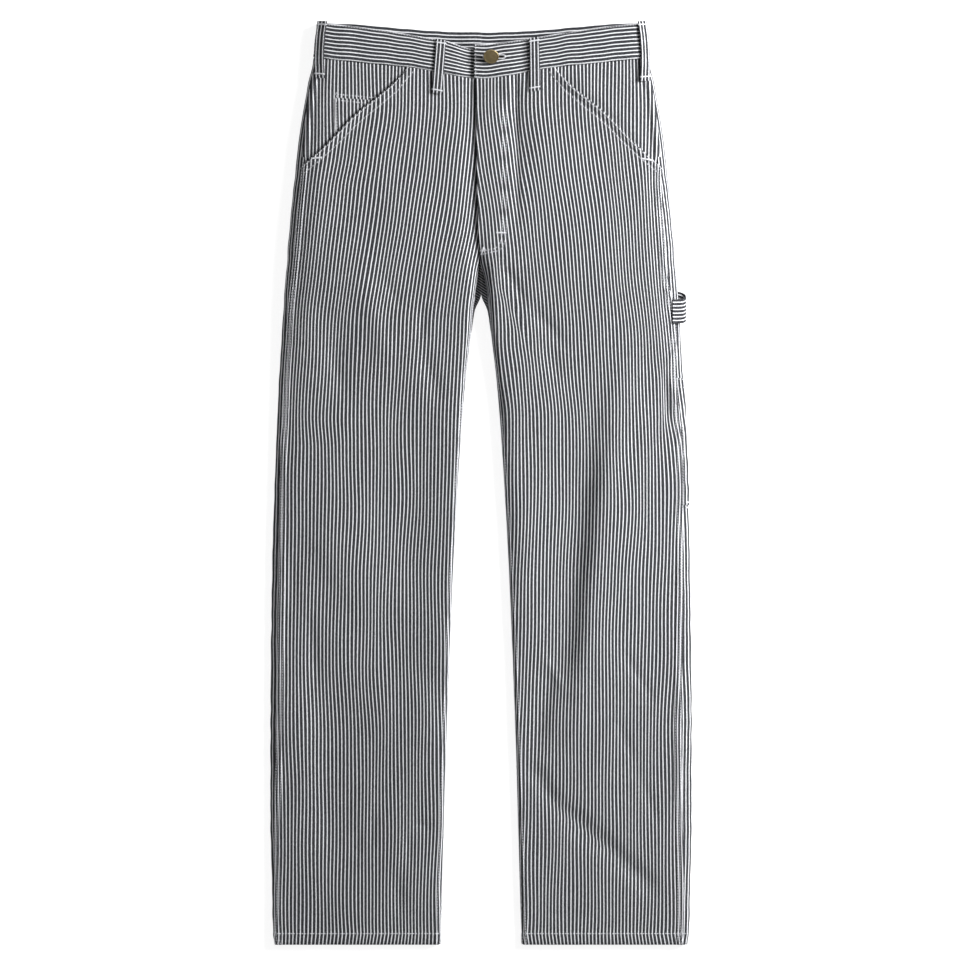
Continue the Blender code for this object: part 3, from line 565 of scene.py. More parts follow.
def add_piece(name, data, finish, nodes):
    """Adds a finished piece, which rides on the garment and stands for its CAD nodes."""
    piece = add_object(name, data)
    data.materials.clear()
    data.materials.append(finish)
    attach(piece, "root")
    if nodes:
        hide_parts(*nodes)
    return piece


def linear(hex_colour):
    """A linear colour from an sRGB hex value."""
    parts = [int(hex_colour[k:k + 2], 16) / 255 for k in (1, 3, 5)]
    return tuple(c / 12.92 if c <= 0.04045 else ((c + 0.055) / 1.055) ** 2.4
                 for c in parts)


def paint(hex_colour):
    """A linear colour with an alpha of 1, as sockets hold it."""
    return (*linear(hex_colour), 1)


def new_finish(name, **values):
    """A new material and its shader, with the named inputs set."""
    finish = bpy.data.materials.new(name)
    finish.use_nodes = True
    shader = finish.node_tree.nodes["Principled BSDF"]
    for key, value in values.items():
        shader.inputs[key.replace("_", " ")].default_value = value
    return finish, shader


def add_node(tree, kind, links=None, **settings):
    """Adds a node with its settings, and links or sets its inputs by name or number."""
    node = tree.nodes.new(kind)
    for key, value in settings.items():
        setattr(node, key, value)
    for key, value in (links or {}).items():
        socket = node.inputs[key]
        if hasattr(value, "is_output"):
            tree.links.new(value, socket)
        else:
            socket.default_value = value
    return node


def math_node(tree, operation, *values):
    """The output of one arithmetic step."""
    node = add_node(tree, "ShaderNodeMath", dict(enumerate(values)), operation=operation)
    return node.outputs[0]


def mixed(tree, factor, first, second):
    """A colour between two others."""
    return add_node(tree, "ShaderNodeMix", {"Factor": factor, "A": first, "B": second},
                    data_type="RGBA").outputs["Result"]


def striped_denim(name, cloth):
    """Striped cotton twill: pale warp stripes on a dark warp, over a pale weft.

    The eye sees crisp narrow stripes with slightly furry edges, a steep twill line and
    small flecks of the pale weft in the dark stripes.
    """
    finish, shader = new_finish(name, Specular_IOR_Level=0.15, Sheen_Weight=0.05,
                                Sheen_Roughness=0.6)
    tree = finish.node_tree
    chart = add_node(tree, "ShaderNodeUVMap", uv_map="Cloth").outputs[0]
    axes = add_node(tree, "ShaderNodeSeparateXYZ", {0: chart})
    across, along = axes.outputs["X"], axes.outputs["Y"]

    def threads(wide, long, detail=2.0):
        """Noise whose grains are this many metres across and along the stripes."""
        stretch = add_node(tree, "ShaderNodeMapping",
                           {0: chart, "Scale": (1 / wide, 1 / long, 1.0)})
        grain = add_node(tree, "ShaderNodeTexNoise",
                         {"Vector": stretch.outputs[0], "Scale": 1.0, "Detail": detail,
                          "Roughness": 0.6})
        return grain.outputs[0]

    # Warp threads are near 0.4 mm apart, and the twill line is drawn at 1.1 mm to show
    furry = math_node(tree, "MULTIPLY_ADD", threads(0.0008, 0.0016), 0.20, -0.10)
    pitch = math_node(tree, "DIVIDE", across, cloth.stripe_pitch)
    place = math_node(tree, "FRACT", math_node(tree, "ADD", pitch, furry))
    from_middle = math_node(tree, "ABSOLUTE", math_node(tree, "SUBTRACT", place, 0.5))
    half = cloth.pale_share / 2
    pale = add_node(tree, "ShaderNodeMapRange",
                    {"Value": from_middle, "From Min": half + 0.045,
                     "From Max": half - 0.045}, interpolation_type="SMOOTHSTEP")
    twill = math_node(tree, "ADD", math_node(tree, "MULTIPLY", across, 1.6), along)
    ridge = math_node(tree, "SINE", math_node(tree, "MULTIPLY", twill, 5700.0))
    fleck = math_node(tree, "MULTIPLY", threads(0.0007, 0.0011, 3.0),
                      math_node(tree, "MULTIPLY_ADD", ridge, 0.25, 0.95))
    fleck = add_node(tree, "ShaderNodeMapRange",
                     {"Value": fleck, "From Min": 0.50, "From Max": 0.74},
                     interpolation_type="SMOOTHSTEP")
    fade = threads(0.05, 0.11, 3.0)
    ground = mixed(tree, fade, paint(cloth.dark_colour), paint(cloth.worn_colour))
    flecks = math_node(tree, "MULTIPLY", fleck.outputs[0], 0.22)
    flecked = mixed(tree, flecks, ground, paint(cloth.pale_colour))
    slub = threads(0.0011, 0.006)
    stripe = mixed(tree, slub, paint(cloth.pale_shade), paint(cloth.pale_colour))
    colour = mixed(tree, pale.outputs[0], flecked, stripe)
    tree.links.new(colour, shader.inputs["Base Color"])
    height = math_node(tree, "MULTIPLY_ADD", ridge, 0.35,
                       math_node(tree, "ADD", threads(0.0009, 0.0022), pale.outputs[0]))
    bump = add_node(tree, "ShaderNodeBump", {"Height": height, "Strength": 0.5,
                                             "Distance": 0.00015})
    tree.links.new(bump.outputs[0], shader.inputs["Normal"])
    rough = math_node(tree, "MULTIPLY_ADD", slub, 0.12, 0.82)
    tree.links.new(rough, shader.inputs["Roughness"])
    return finish


def cotton_thread(sewing):
    """Bleached cotton sewing thread, twisted, with a soft matt face."""
    finish, shader = new_finish("bleached_cotton_thread", Roughness=0.85,
                                Specular_IOR_Level=0.2)
    tree = finish.node_tree
    place = add_node(tree, "ShaderNodeTexCoord").outputs["Object"]
    twist = add_node(tree, "ShaderNodeTexNoise", {"Vector": place, "Scale": 900.0})
    colour = mixed(tree, twist.outputs[0], paint(sewing.thread_shade),
                   paint(sewing.thread_colour))
    tree.links.new(colour, shader.inputs["Base Color"])
    return finish


def aged_brass(metal):
    """Pressed brass with a brown patina, brushed flat and a little scratched."""
    finish, shader = new_finish("aged_brass", Metallic=0.9)
    tree = finish.node_tree
    place = add_node(tree, "ShaderNodeTexCoord").outputs["Object"]
    patina = add_node(tree, "ShaderNodeTexNoise", {"Vector": place, "Scale": 260.0,
                                                   "Detail": 5.0})
    colour = mixed(tree, patina.outputs[0], paint(metal.patina), paint(metal.brass))
    tree.links.new(colour, shader.inputs["Base Color"])
    grain = add_node(tree, "ShaderNodeTexNoise", {"Vector": place, "Scale": 1500.0})
    rough = math_node(tree, "MULTIPLY_ADD", grain.outputs[0], 0.2, 0.36)
    tree.links.new(rough, shader.inputs["Roughness"])
    bump = add_node(tree, "ShaderNodeBump", {"Height": grain.outputs[0],
                                             "Strength": 0.25, "Distance": 0.0001})
    tree.links.new(bump.outputs[0], shader.inputs["Normal"])
    return finish


def denim():
    """The striped denim, made once."""
    name = "striped_cotton_denim"
    cloth = bpy.context.scene.trouser_cloth
    return bpy.data.materials.get(name) or striped_denim(name, cloth)


def unevenness(x, y):
    """The way cloth that was worn or washed lies: low, soft and never quite flat."""
    loose = bpy.context.scene.trouser_cloth.unevenness / MM
    soft = waves(x, y, WAVE_SEED, 150.0, 60.0)
    small = waves(x, y, WAVE_SEED + 1, 42.0, 22.0, count=12, lean=0.9)
    return loose * (0.7 * soft + 0.28 * small)


def pucker(away, along, width, seed, pitch=9.0):
    """Small ripples that sewing draws into the cloth beside a row of stitches."""
    drift = 2.2 * waves(along, along * 0.0, seed, 60.0, 18.0, count=5, lean=0.01)
    ripple = np.sin(2 * math.pi * along / pitch + drift)
    ripple *= 0.55 + 0.45 * waves(along, along * 0.0, seed + 1, 90.0, 30.0, count=4,
                                  lean=0.01)
    return np.exp(-((away / width) ** 2)) * ripple


def stripe_waver(x, y):
    """How far the stripes stray from true, as woven and washed cloth lets them."""
    slow = waves(x, y * 0.35, WAVE_SEED + 7, 70.0, 30.0, count=10, lean=0.8)
    return 0.55 * slow


def front_stripes(cloth):
    """Numbers the stripes of a front by the followed ones, in millimetres of cloth."""
    side = cloth.side
    pitch = bpy.context.scene.trouser_cloth.stripe_pitch / MM
    first, second = STRIPES_BETWEEN[side]
    marks = np.array([0.0, first, first + second]) * pitch
    for i, section in enumerate(cloth.sections):
        guides = []
        for name in ("inner", "middle", "outer"):
            x = float(read(STRIPE_ROWS[side], STRIPE_COLUMNS, name, section.y))
            real_y = float(section.row_y(x, section.height))
            x = float(read(STRIPE_ROWS[side], STRIPE_COLUMNS, name, real_y))
            guides.append(float(section.length_at(x)))
        arcs = cloth.arcs[i]
        thigh = smooth((section.y - 40) / 40) * smooth((380 - section.y) / 40)
        share = np.clip((arcs - guides[1]) / (guides[2] - guides[1]), 0, 1)
        closer = 0.12 * thigh * (side == "right") * (share**2 - share)
        u = np.interp(arcs, guides, marks) + closer * (marks[2] - marks[1])
        u = np.where(arcs < guides[0], marks[0] + arcs - guides[0], u)
        beyond = (arcs - guides[2]) * (1 + 0.2 * thigh)
        cloth.stripe[i] = np.where(arcs > guides[2], marks[2] + beyond, u)
    x, y = cloth.points[:, :, 0], cloth.points[:, :, 1]
    above = 1.3 * np.exp(-np.clip(y - HEM_LINE_Y, 0, None) / 22)
    below = np.clip(HEM_LINE_Y - y, 0, None) * 0.16
    kink = (above - below) * (0.65 + 0.35 * np.sin(x / 27))
    cloth.stripe += stripe_waver(x, y) + kink
    cloth.stripe += taken_in(x, y)


def hem_relief(cloth):
    """The turned-up hem: a low step at its stitching, and slanting ripples below it."""
    y = cloth.points[:, :, 1]
    x = cloth.points[:, :, 0]
    inside = smooth((HEM_LINE_Y + 0.6 - y) / 1.2)
    cloth.rise += 0.45 * inside
    cloth.thick += 1.3 * inside
    cloth.rise += 0.22 * pucker(y - HEM_LINE_Y, x + 0.8 * y, 7.0, 31, pitch=7.5)
    cloth.rise += 0.12 * inside * np.sin((x * 1.0 + y * 0.9) / 1.6)


def mouth_x(y):
    """Where the slanted pocket mouth passes a level, from the middle."""
    return float(read(MOUTH_ROWS, MOUTH_COLUMNS, "x", y))


def mouth_gap(cloth):
    """How far the cloth inside a slanted mouth lies below its edge, beside that edge."""
    rows = np.array([section.y for section in cloth.sections])[:, None]
    mouth = read(MOUTH_ROWS, MOUTH_COLUMNS, "x", rows)
    away = np.abs(cloth.points[:, :, 0]) - mouth
    open_part = smooth((rows - 378) / 20) * smooth((466 - rows) / 14)
    return 1.3 * open_part * np.exp(-((away / 7) ** 2))


def front_panel(side):
    """A front leg panel: lapped over the back at the side seam, hemmed at the mouth."""
    def columns(section):
        seam = section.seam()
        end = seam + SEAM_LAP
        turn_down = min(section.bend(2), seam - 6.5)
        marks = (0.0, 1.2, section.bend(1), turn_down, seam - 4.6, end - 1.2, end)
        found = stations(marks, (3, 16, 58, 14, 8, 3))
        stop = end
        if section.y > MOUTH_ROWS[0][0]:
            stop = min(end, float(section.length_at(mouth_x(section.y))))
        even = stations((0, 1.2, stop - 9.0, stop - 1.2, stop), (3, 84, 12, 3))
        return found + (even - found) * smooth((section.y - 250) / 100)

    marks = (HEM_Y, HEM_Y + 1.2, HEM_LINE_Y - 1, HEM_LINE_Y + 1, MOUTH_ROWS[0][0],
             *PANEL_TOP_YS)
    cloth = Cloth(side, levels(marks, 4.0), columns)
    x, y = cloth.points[:, :, 0], cloth.points[:, :, 1]
    start, end = cloth.from_start(), cloth.from_end()
    edge_fade = smooth(start / 10) * smooth(end / 10)
    cloth.rise += edge_fade * (unevenness(x, y) + fold_height(FINE_FOLDS, x, y))
    front_stripes(cloth)
    row_y = np.array([section.y for section in cloth.sections])[:, None]
    below_mouth = row_y <= POCKET_LOW_Y
    lap = smooth((SEAM_LAP + 5.2 - end) / 1.6)
    cloth.rise += np.where(below_mouth, 0.75 * lap, 0.7 * smooth((9.5 - end) / 2.0))
    cloth.thick += np.where(below_mouth, -0.45 * lap, 0.45 * smooth((9.5 - end) / 2.0))
    inseam = row_y < 215
    cloth.rise += np.where(inseam, 0.35 * smooth((9.5 - start) / 2), 0)
    cloth.rise += 0.30 * pucker(end - 6, y, 10.0, 41) * smooth(end / 2)
    gaping = smooth((row_y - 380) / 25) * smooth((462 - row_y) / 20)
    cloth.rise += 0.6 * gaping * smooth((7 - end) / 5)
    cloth.rise += 0.26 * pucker(start - 5, y, 9.0, 43) * smooth(start / 2) * inseam
    if side == "left":
        fly = smooth((36 - x) / 3) * smooth((y - 247 - 0.012 * (x - 5) ** 2) / 5)
        cloth.rise += 0.5 * fly
        cloth.rise += 0.35 * pucker(x - 28, y, 6.0, 47) * smooth((y - 235) / 10)
    else:
        cloth.rise -= 1.0 * smooth((14 - start) / 10) * smooth((y - 262) / 20)
    hem_relief(cloth)
    cloth.round_edges()
    cloth.rise = np.where(y > 463, cloth.rise * smooth((474 - row_y) / 6), cloth.rise)
    return cloth


def under_marks(section):
    """Where the surface below changes: outermost, flat, lifted, middle part, end."""
    lifted = section.under_at(section.outer - LIFT_REACH)
    level = section.under_at(section.outer - LIFT_REACH - LIFT_FADE)
    return (section.bend(3), section.bend(4), lifted, level, section.bend(5),
            float(section.lengths[-1]))


def back_stripes(cloth):
    """The back's stripes run along the outline, and slant near the crotch."""
    for i, section in enumerate(cloth.sections):
        cloth.stripe[i] = cloth.arcs[i] - section.bend(3) + 2.5
    x, y = cloth.points[:, :, 0], cloth.points[:, :, 1]
    near = smooth((24 - np.abs(x)) / 8) * smooth((y - 196) / 10) * smooth((290 - y) / 20)
    slanted = 0.85 * x + 1.3 * y
    cloth.stripe = cloth.stripe * (1 - near) + slanted * near
    cloth.stripe += stripe_waver(x + 300, y)


def back_panel(side):
    """A back leg panel, round the outline and under the leg, flat where it rests."""
    def columns(section):
        marks = (section.seam() + 0.15,) + under_marks(section)
        return stations(marks, (10, 14, 22, 7, 24, 10))

    marks = (HEM_Y, HEM_Y + 1.2, HEM_LINE_Y - 1, HEM_LINE_Y + 1, *PANEL_TOP_YS)
    cloth = Cloth(side, levels(marks, 4.5), columns)
    y = cloth.points[:, :, 1]
    back_stripes(cloth)
    lip = smooth(cloth.points[:, :, 2] / 3)
    cloth.rise += lip * 0.25 * waves(y, y * 0, WAVE_SEED + 3, 70, 24, lean=0.01)
    inside = smooth((HEM_LINE_Y + 0.6 - y) / 1.2)
    cloth.thick += 1.0 * inside
    close_middle(cloth)
    return cloth


def close_middle(cloth):
    """Brings the two sides together at the centre back."""
    last = cloth.points[:, -1]
    last[:, 0] = np.where(np.abs(last[:, 0]) < 0.5, SIGN[cloth.side] * 0.03, last[:, 0])


def band_section(side, y):
    """The waistband's section: the wearer's right end runs on under the left one."""
    if side == "right":
        return HalfSection(side, y, inner=-29.0, drop=3.1)
    return HalfSection(side, y, inner=-8.4, drop=0.2)


def waistband(side):
    """One half of the waistband, its stripes running round the waist."""
    def columns(section):
        marks = (0.0, 1.2, section.bend(1), section.bend(2)) + under_marks(section)
        return stations(marks, (3, 30, 46, 16, 12, 14, 12, 16, 8))

    marks = (WAIST_SEAM_Y + 0.4, WAIST_SEAM_Y + 1.6, BAND_TOP_Y - 1.4, BAND_TOP_Y - 0.1)
    cloth = Cloth(side, levels(marks, 1.9), columns, band_section)
    x, y = cloth.points[:, :, 0], cloth.points[:, :, 1]
    over = smooth(cloth.points[:, :, 2] / 4)
    row = np.array([s.y for s in cloth.sections])[:, None] + np.zeros(x.shape)
    cloth.stripe = (row - WAIST_SEAM_Y) * 4.2 / 4.32 + 1.1 + 0.25 * waves(
        x, y * 0, WAVE_SEED + 11, 60, 20, lean=0.01)
    cloth.length = cloth.arcs.copy()
    middle = smooth((row - WAIST_SEAM_Y - 3) / 4) * smooth((BAND_TOP_Y - 3 - row) / 4)
    soft = waves(x, row * 0.5, WAVE_SEED + 13, 60, 22, lean=0.3)
    cloth.rise += over * (0.5 + 0.28 * soft * middle)
    cloth.rise += over * 0.16 * pucker(row - WAIST_SEAM_Y - 3, x, 4.0, 61, pitch=8.0)
    cloth.rise += over * 0.16 * pucker(BAND_TOP_Y - 3 - row, x, 4.0, 63, pitch=7.0)
    if side == "right":
        cloth.rise -= 1.2 * smooth((x + 30) / 14)
    else:
        cloth.rise -= 1.5 * over * np.exp(-(((x - 48) / 5) ** 2))
    cloth.thick = np.full(x.shape, 2.2)
    cloth.round_edges(1.0)
    close_middle(cloth)
    return cloth


def pocket_facing(side):
    """The cloth inside the slanted mouth, lapped over the back at the side seam."""
    def columns(section):
        start = section.length_at(mouth_x(max(section.y, MOUTH_ROWS[0][0])) - 24.0)
        end = section.seam() + SEAM_LAP
        return stations((float(start), end - 9.0, end - 1.0, end), (30, 14, 3))

    cloth = Cloth(side, levels((352.0, POCKET_LOW_Y, *PANEL_TOP_YS), 3.0), columns)
    x, y = cloth.points[:, :, 0], cloth.points[:, :, 1]
    end = cloth.from_end()
    row = np.array([s.y for s in cloth.sections])[:, None]
    up = smooth((SEAM_LAP + 6.0 - end) / 5) * smooth((row - 368) / 14)
    cloth.rise += -1.65 + 2.3 * up
    cloth.thick -= 0.5 * up
    soft = 0.25 * waves(x, y, WAVE_SEED + 17, 60, 25)
    cloth.rise += soft * (1 - up) * smooth((470 - row) / 20)
    cloth.rise -= mouth_gap(cloth)
    cloth.stripe = np.abs(x) + 0.8 + stripe_waver(x + 90, y)
    cloth.round_edges(0.7, (False, True, False, True))
    return cloth


def coin_pocket():
    """The small pocket on the right facing, its other edge caught under the front."""
    def columns(section):
        start = float(section.length_at(mouth_x(section.y) - 5.0))
        end = float(section.length_at(COIN_POCKET_SIDE_X))
        return stations((start, end - 1.0, end), (26, 3))

    cloth = Cloth("right", levels((404.0, COIN_POCKET_TOP_Y - 1, COIN_POCKET_TOP_Y), 2.0),
                  columns)
    x, y = cloth.points[:, :, 0], cloth.points[:, :, 1]
    cloth.rise += -0.95 - mouth_gap(cloth)
    cloth.thick = np.full(x.shape, 0.6)
    cloth.stripe = np.abs(x) + 2.2 + stripe_waver(x + 90, y)
    cloth.round_edges(0.5, (False, True, True, True))
    return cloth


def tool_pocket():
    """The narrow pocket on the left back panel, lapping round the outline."""
    def columns(section):
        start = section.seam() + 3.0
        marks = (start, start + 1.0, section.bend(3), section.bend(4),
                 start + TOOL_POCKET_WIDTH - 1, start + TOOL_POCKET_WIDTH)
        return stations(marks, (3, 10, 12, 20, 3))

    low, high = TOOL_POCKET_Y
    cloth = Cloth("left", levels((low, low + 1, high - 1, high), 3.0), columns)
    x, y = cloth.points[:, :, 0], cloth.points[:, :, 1]
    above = smooth(cloth.points[:, :, 2] / 2.5)
    cloth.rise += 1.5 + above * 0.3 * waves(y, x * 0, WAVE_SEED + 19, 40, 15, lean=0.01)
    hemmed = smooth((y - high + 13) / 1.5) * above
    cloth.rise += 0.35 * hemmed
    cloth.stripe = cloth.from_start() + 1.4 + 0.03 * (y - low)
    cloth.round_edges(0.7)
    return cloth


class StripPiece:
    """A sewn strip with rounded edges, along a line of points with given normals."""

    def __init__(self, points, across, normals, width, thick, first_stripe=0.0):
        self.points, self.across, self.normals = points, across, normals
        self.width, self.thick, self.first_stripe = width, thick, first_stripe

    def mesh(self, name):
        """A closed strip, its stripes running along it."""
        share = np.linspace(-0.5, 0.5, STRIP_COLUMNS)
        edge = np.clip(1 - (0.5 - np.abs(share)) * self.width / 0.6, 0, 1)
        turned = 0.4 * (1 - np.sqrt(1 - edge**2))
        base = self.points[:, None, :] + self.across[:, None, :] * (
            share[None, :, None] * self.width)
        half = self.normals[:, None, :] * (self.thick / 2 - turned)[None, :, None]
        steps = np.linalg.norm(np.diff(self.points, axis=0), axis=1)
        run = np.concatenate(([0.0], np.cumsum(steps)))
        chart = np.stack((np.tile(share * self.width + self.first_stripe, len(run)),
                          np.repeat(run, STRIP_COLUMNS)), axis=1)
        data = wall_mesh(name, base + half, base - half, chart,
                         wall_faces(len(run), STRIP_COLUMNS))
        work = bmesh.new()
        work.from_mesh(data)
        bmesh.ops.recalc_face_normals(work, faces=work.faces[:])
        work.to_mesh(data)
        work.free()
        shade(data, 50)
        return data


def belt_loop(row):
    """A belt loop's strip, arching off the band between its two sewn ends."""
    loop = dict(zip(BELT_LOOP_COLUMNS, row))
    side = loop["side"]
    top_y = BAND_TOP_Y - 0.1 + loop["over"]
    points, across = [], []
    count = 34
    for k in range(count):
        t = k / (count - 1)
        section = HalfSection(side, loop["low_y"] + (top_y - loop["low_y"]) * t)
        x = loop["low_x"] + (loop["top_x"] - loop["low_x"]) * t
        x += loop["bulge"] * math.sin(math.pi * t)
        middle = float(section.length_at(x - BELT_LOOP_WIDTH / 2)) + BELT_LOOP_WIDTH / 2
        near = section.points(np.array([middle - 1, middle, middle + 1]))
        tangent = (near[2] - near[0]) * SIGN[side]
        tangent /= np.linalg.norm(tangent)
        normal = np.array((-tangent[2], 0.0, tangent[0]))
        bow = 0.6 * math.sin(math.pi * t) ** 0.7
        sag = 0.2 * math.sin(math.pi * 3 * t)
        lift = 0.6 + BELT_LOOP_CLOTH / 2 + bow + sag * (1 if 0.2 < t < 0.8 else 0)
        points.append(near[1] + normal * lift)
        across.append(tangent)
    points, across = np.array(points), np.array(across)
    along = np.gradient(points, axis=0)
    normals = np.cross(across, along)
    normals /= np.linalg.norm(normals, axis=1, keepdims=True)
    return StripPiece(points, across, normals, BELT_LOOP_WIDTH, BELT_LOOP_CLOTH,
                      BELT_LOOP_STRIPE)


def hammer_loop():
    """The strap's line across the leg: off the side seam, out, round and back under."""
    section = HalfSection("left", HAMMER_LOOP_Y)
    rest = 0.3 + HAMMER_LOOP_CLOTH / 2 + 0.1
    seam = section.seam()
    first = section.points(np.array([seam + 1.0, seam + 5.0]))
    reach = HAMMER_LOOP_REACH - HAMMER_LOOP_CLOTH / 2
    anchors = np.array([
        (first[0, 0], first[0, 2] + rest + 0.9), (first[1, 0], first[1, 2] + rest + 1.4),
        (reach - 4.2, 15.0), (reach - 1.2, 12.2), (reach, 8.8), (reach - 0.8, 5.2),
        (reach - 3.2, 2.4), (reach - 7.0, 1.2), (reach - 12.0, 0.82),
        (reach - 32.0, 0.82),
    ])
    steps = np.concatenate(([0.0], np.cumsum(np.linalg.norm(np.diff(anchors, axis=0),
                                                            axis=1))))
    rows_x = tuple(zip(steps, anchors[:, 0]))
    rows_z = tuple(zip(steps, anchors[:, 1]))
    run = np.linspace(0, steps[-1], 60)
    x = read(rows_x, ("run", "x"), "x", run)
    z = read(rows_z, ("run", "z"), "z", run)
    share = read(tuple(zip(steps, range(len(anchors)))), ("run", "k"), "k", run)
    y = HAMMER_LOOP_Y + HAMMER_LOOP_RISE * smooth((share - 1) / (len(anchors) - 3))
    points = np.stack((x, y, z), axis=1)
    tangent = np.gradient(points, axis=0)
    tangent[:, 1] = 0
    tangent /= np.linalg.norm(tangent, axis=1, keepdims=True)
    normals = np.stack((-tangent[:, 2], np.zeros(60), tangent[:, 0]), axis=1)
    across = np.tile(np.array((0.0, 1.0, 0.0)), (60, 1))
    return StripPiece(points, across, normals, HAMMER_LOOP_WIDTH, HAMMER_LOOP_CLOTH)


def button_mesh(metal):
    """A pressed button cap with a rolled rim and a shallow ring, on a short stem."""
    top, under = button_heights()
    tilt = math.radians(BUTTON_TILT)
    radius = metal.button_radius / MM
    cap_z = top + 0.5 + radius * math.sin(tilt)
    profile = ((0.0, 2.5), (3.0, 2.45), (5.6, 2.3), (6.6, 2.0), (7.0, 1.95), (7.5, 2.2),
               (8.1, 2.35), (8.6, 2.15), (8.95, 1.7), (9.0, 1.1), (8.8, 0.5), (8.2, 0.1),
               (5.0, 0.2), (2.2, 0.3), (1.9, -0.4), (1.7, under - cap_z + 0.8),
               (3.4, under - cap_z + 0.5), (0.0, under - cap_z + 0.4))
    work = bmesh.new()
    sides = 64
    rings = []
    for r, z in profile:
        if r == 0.0:
            rings.append([cap_vertex(work, 0, 0, z, tilt, cap_z)])
            continue
        rings.append([cap_vertex(work, r * math.cos(2 * math.pi * k / sides),
                                 r * math.sin(2 * math.pi * k / sides), z, tilt, cap_z)
                      for k in range(sides)])
    for a, b in zip(rings, rings[1:]):
        for k in range(sides):
            m = (k + 1) % sides
            if len(a) == 1:
                work.faces.new((a[0], b[k], b[m]))
            elif len(b) == 1:
                work.faces.new((a[k], b[0], a[m]))
            else:
                work.faces.new((a[k], b[k], b[m], a[m]))
    bmesh.ops.recalc_face_normals(work, faces=work.faces[:])
    data = bpy.data.meshes.new("button")
    work.to_mesh(data)
    work.free()
    shade(data, 60)
    return data


def cap_vertex(work, x, y, z, tilt, cap_z):
    """A vertex of the button: the cap is tilted, and its stem comes upright below."""
    lean = tilt * float(smooth((z + 3.0) / 3.0))
    spot = Vector((x, y * math.cos(lean) - z * math.sin(lean),
                   y * math.sin(lean) + z * math.cos(lean)))
    return work.verts.new((spot + Vector((*BUTTON_AT, cap_z))) * MM)


def button_heights():
    """Heights of the two waistband ends under the button: left end, then right end."""
    heights = []
    for side in ("left", "right"):
        section = band_section(side, 490.0)
        arc = section.length_at(BUTTON_AT[0] * SIGN[side])
        heights.append(float(section.points(np.array([float(arc)]))[0, 2]) + 0.5)
    return heights


def buttonhole_ring(wider, higher):
    """Points round the buttonhole in plan, that much outside its edge."""
    length, height = BUTTONHOLE
    half = height / 2
    ring = []
    for centre, first in ((BUTTONHOLE_X + length - half, -90), (BUTTONHOLE_X + half, 90)):
        for step in range(9):
            turn = math.radians(first + 22.5 * step)
            ring.append((centre + (half + wider) * math.cos(turn),
                         BUTTON_AT[1] + (half * BUTTONHOLE_SLACK + higher)
                         * math.sin(turn)))
    return ring


def cut_buttonhole(piece):
    """Cuts the level buttonhole, a slot with round ends, and leaves a plain mesh."""
    work = bmesh.new()
    rim = buttonhole_ring(0.0, 0.0)
    low = [work.verts.new(Vector((x, y, 11.0)) * MM) for x, y in rim]
    high = [work.verts.new(Vector((x, y, 23.0)) * MM) for x, y in rim]
    work.faces.new(low[::-1])
    work.faces.new(high)
    for k in range(len(rim)):
        m = (k + 1) % len(rim)
        work.faces.new((low[k], low[m], high[m], high[k]))
    data = bpy.data.meshes.new("buttonhole_cutter")
    work.to_mesh(data)
    work.free()
    cutter = add_object("buttonhole_cutter", data)
    slot = piece.modifiers.new("buttonhole", "BOOLEAN")
    slot.operation = "DIFFERENCE"
    slot.object = cutter
    make_plain(piece)
    bpy.data.objects.remove(cutter)


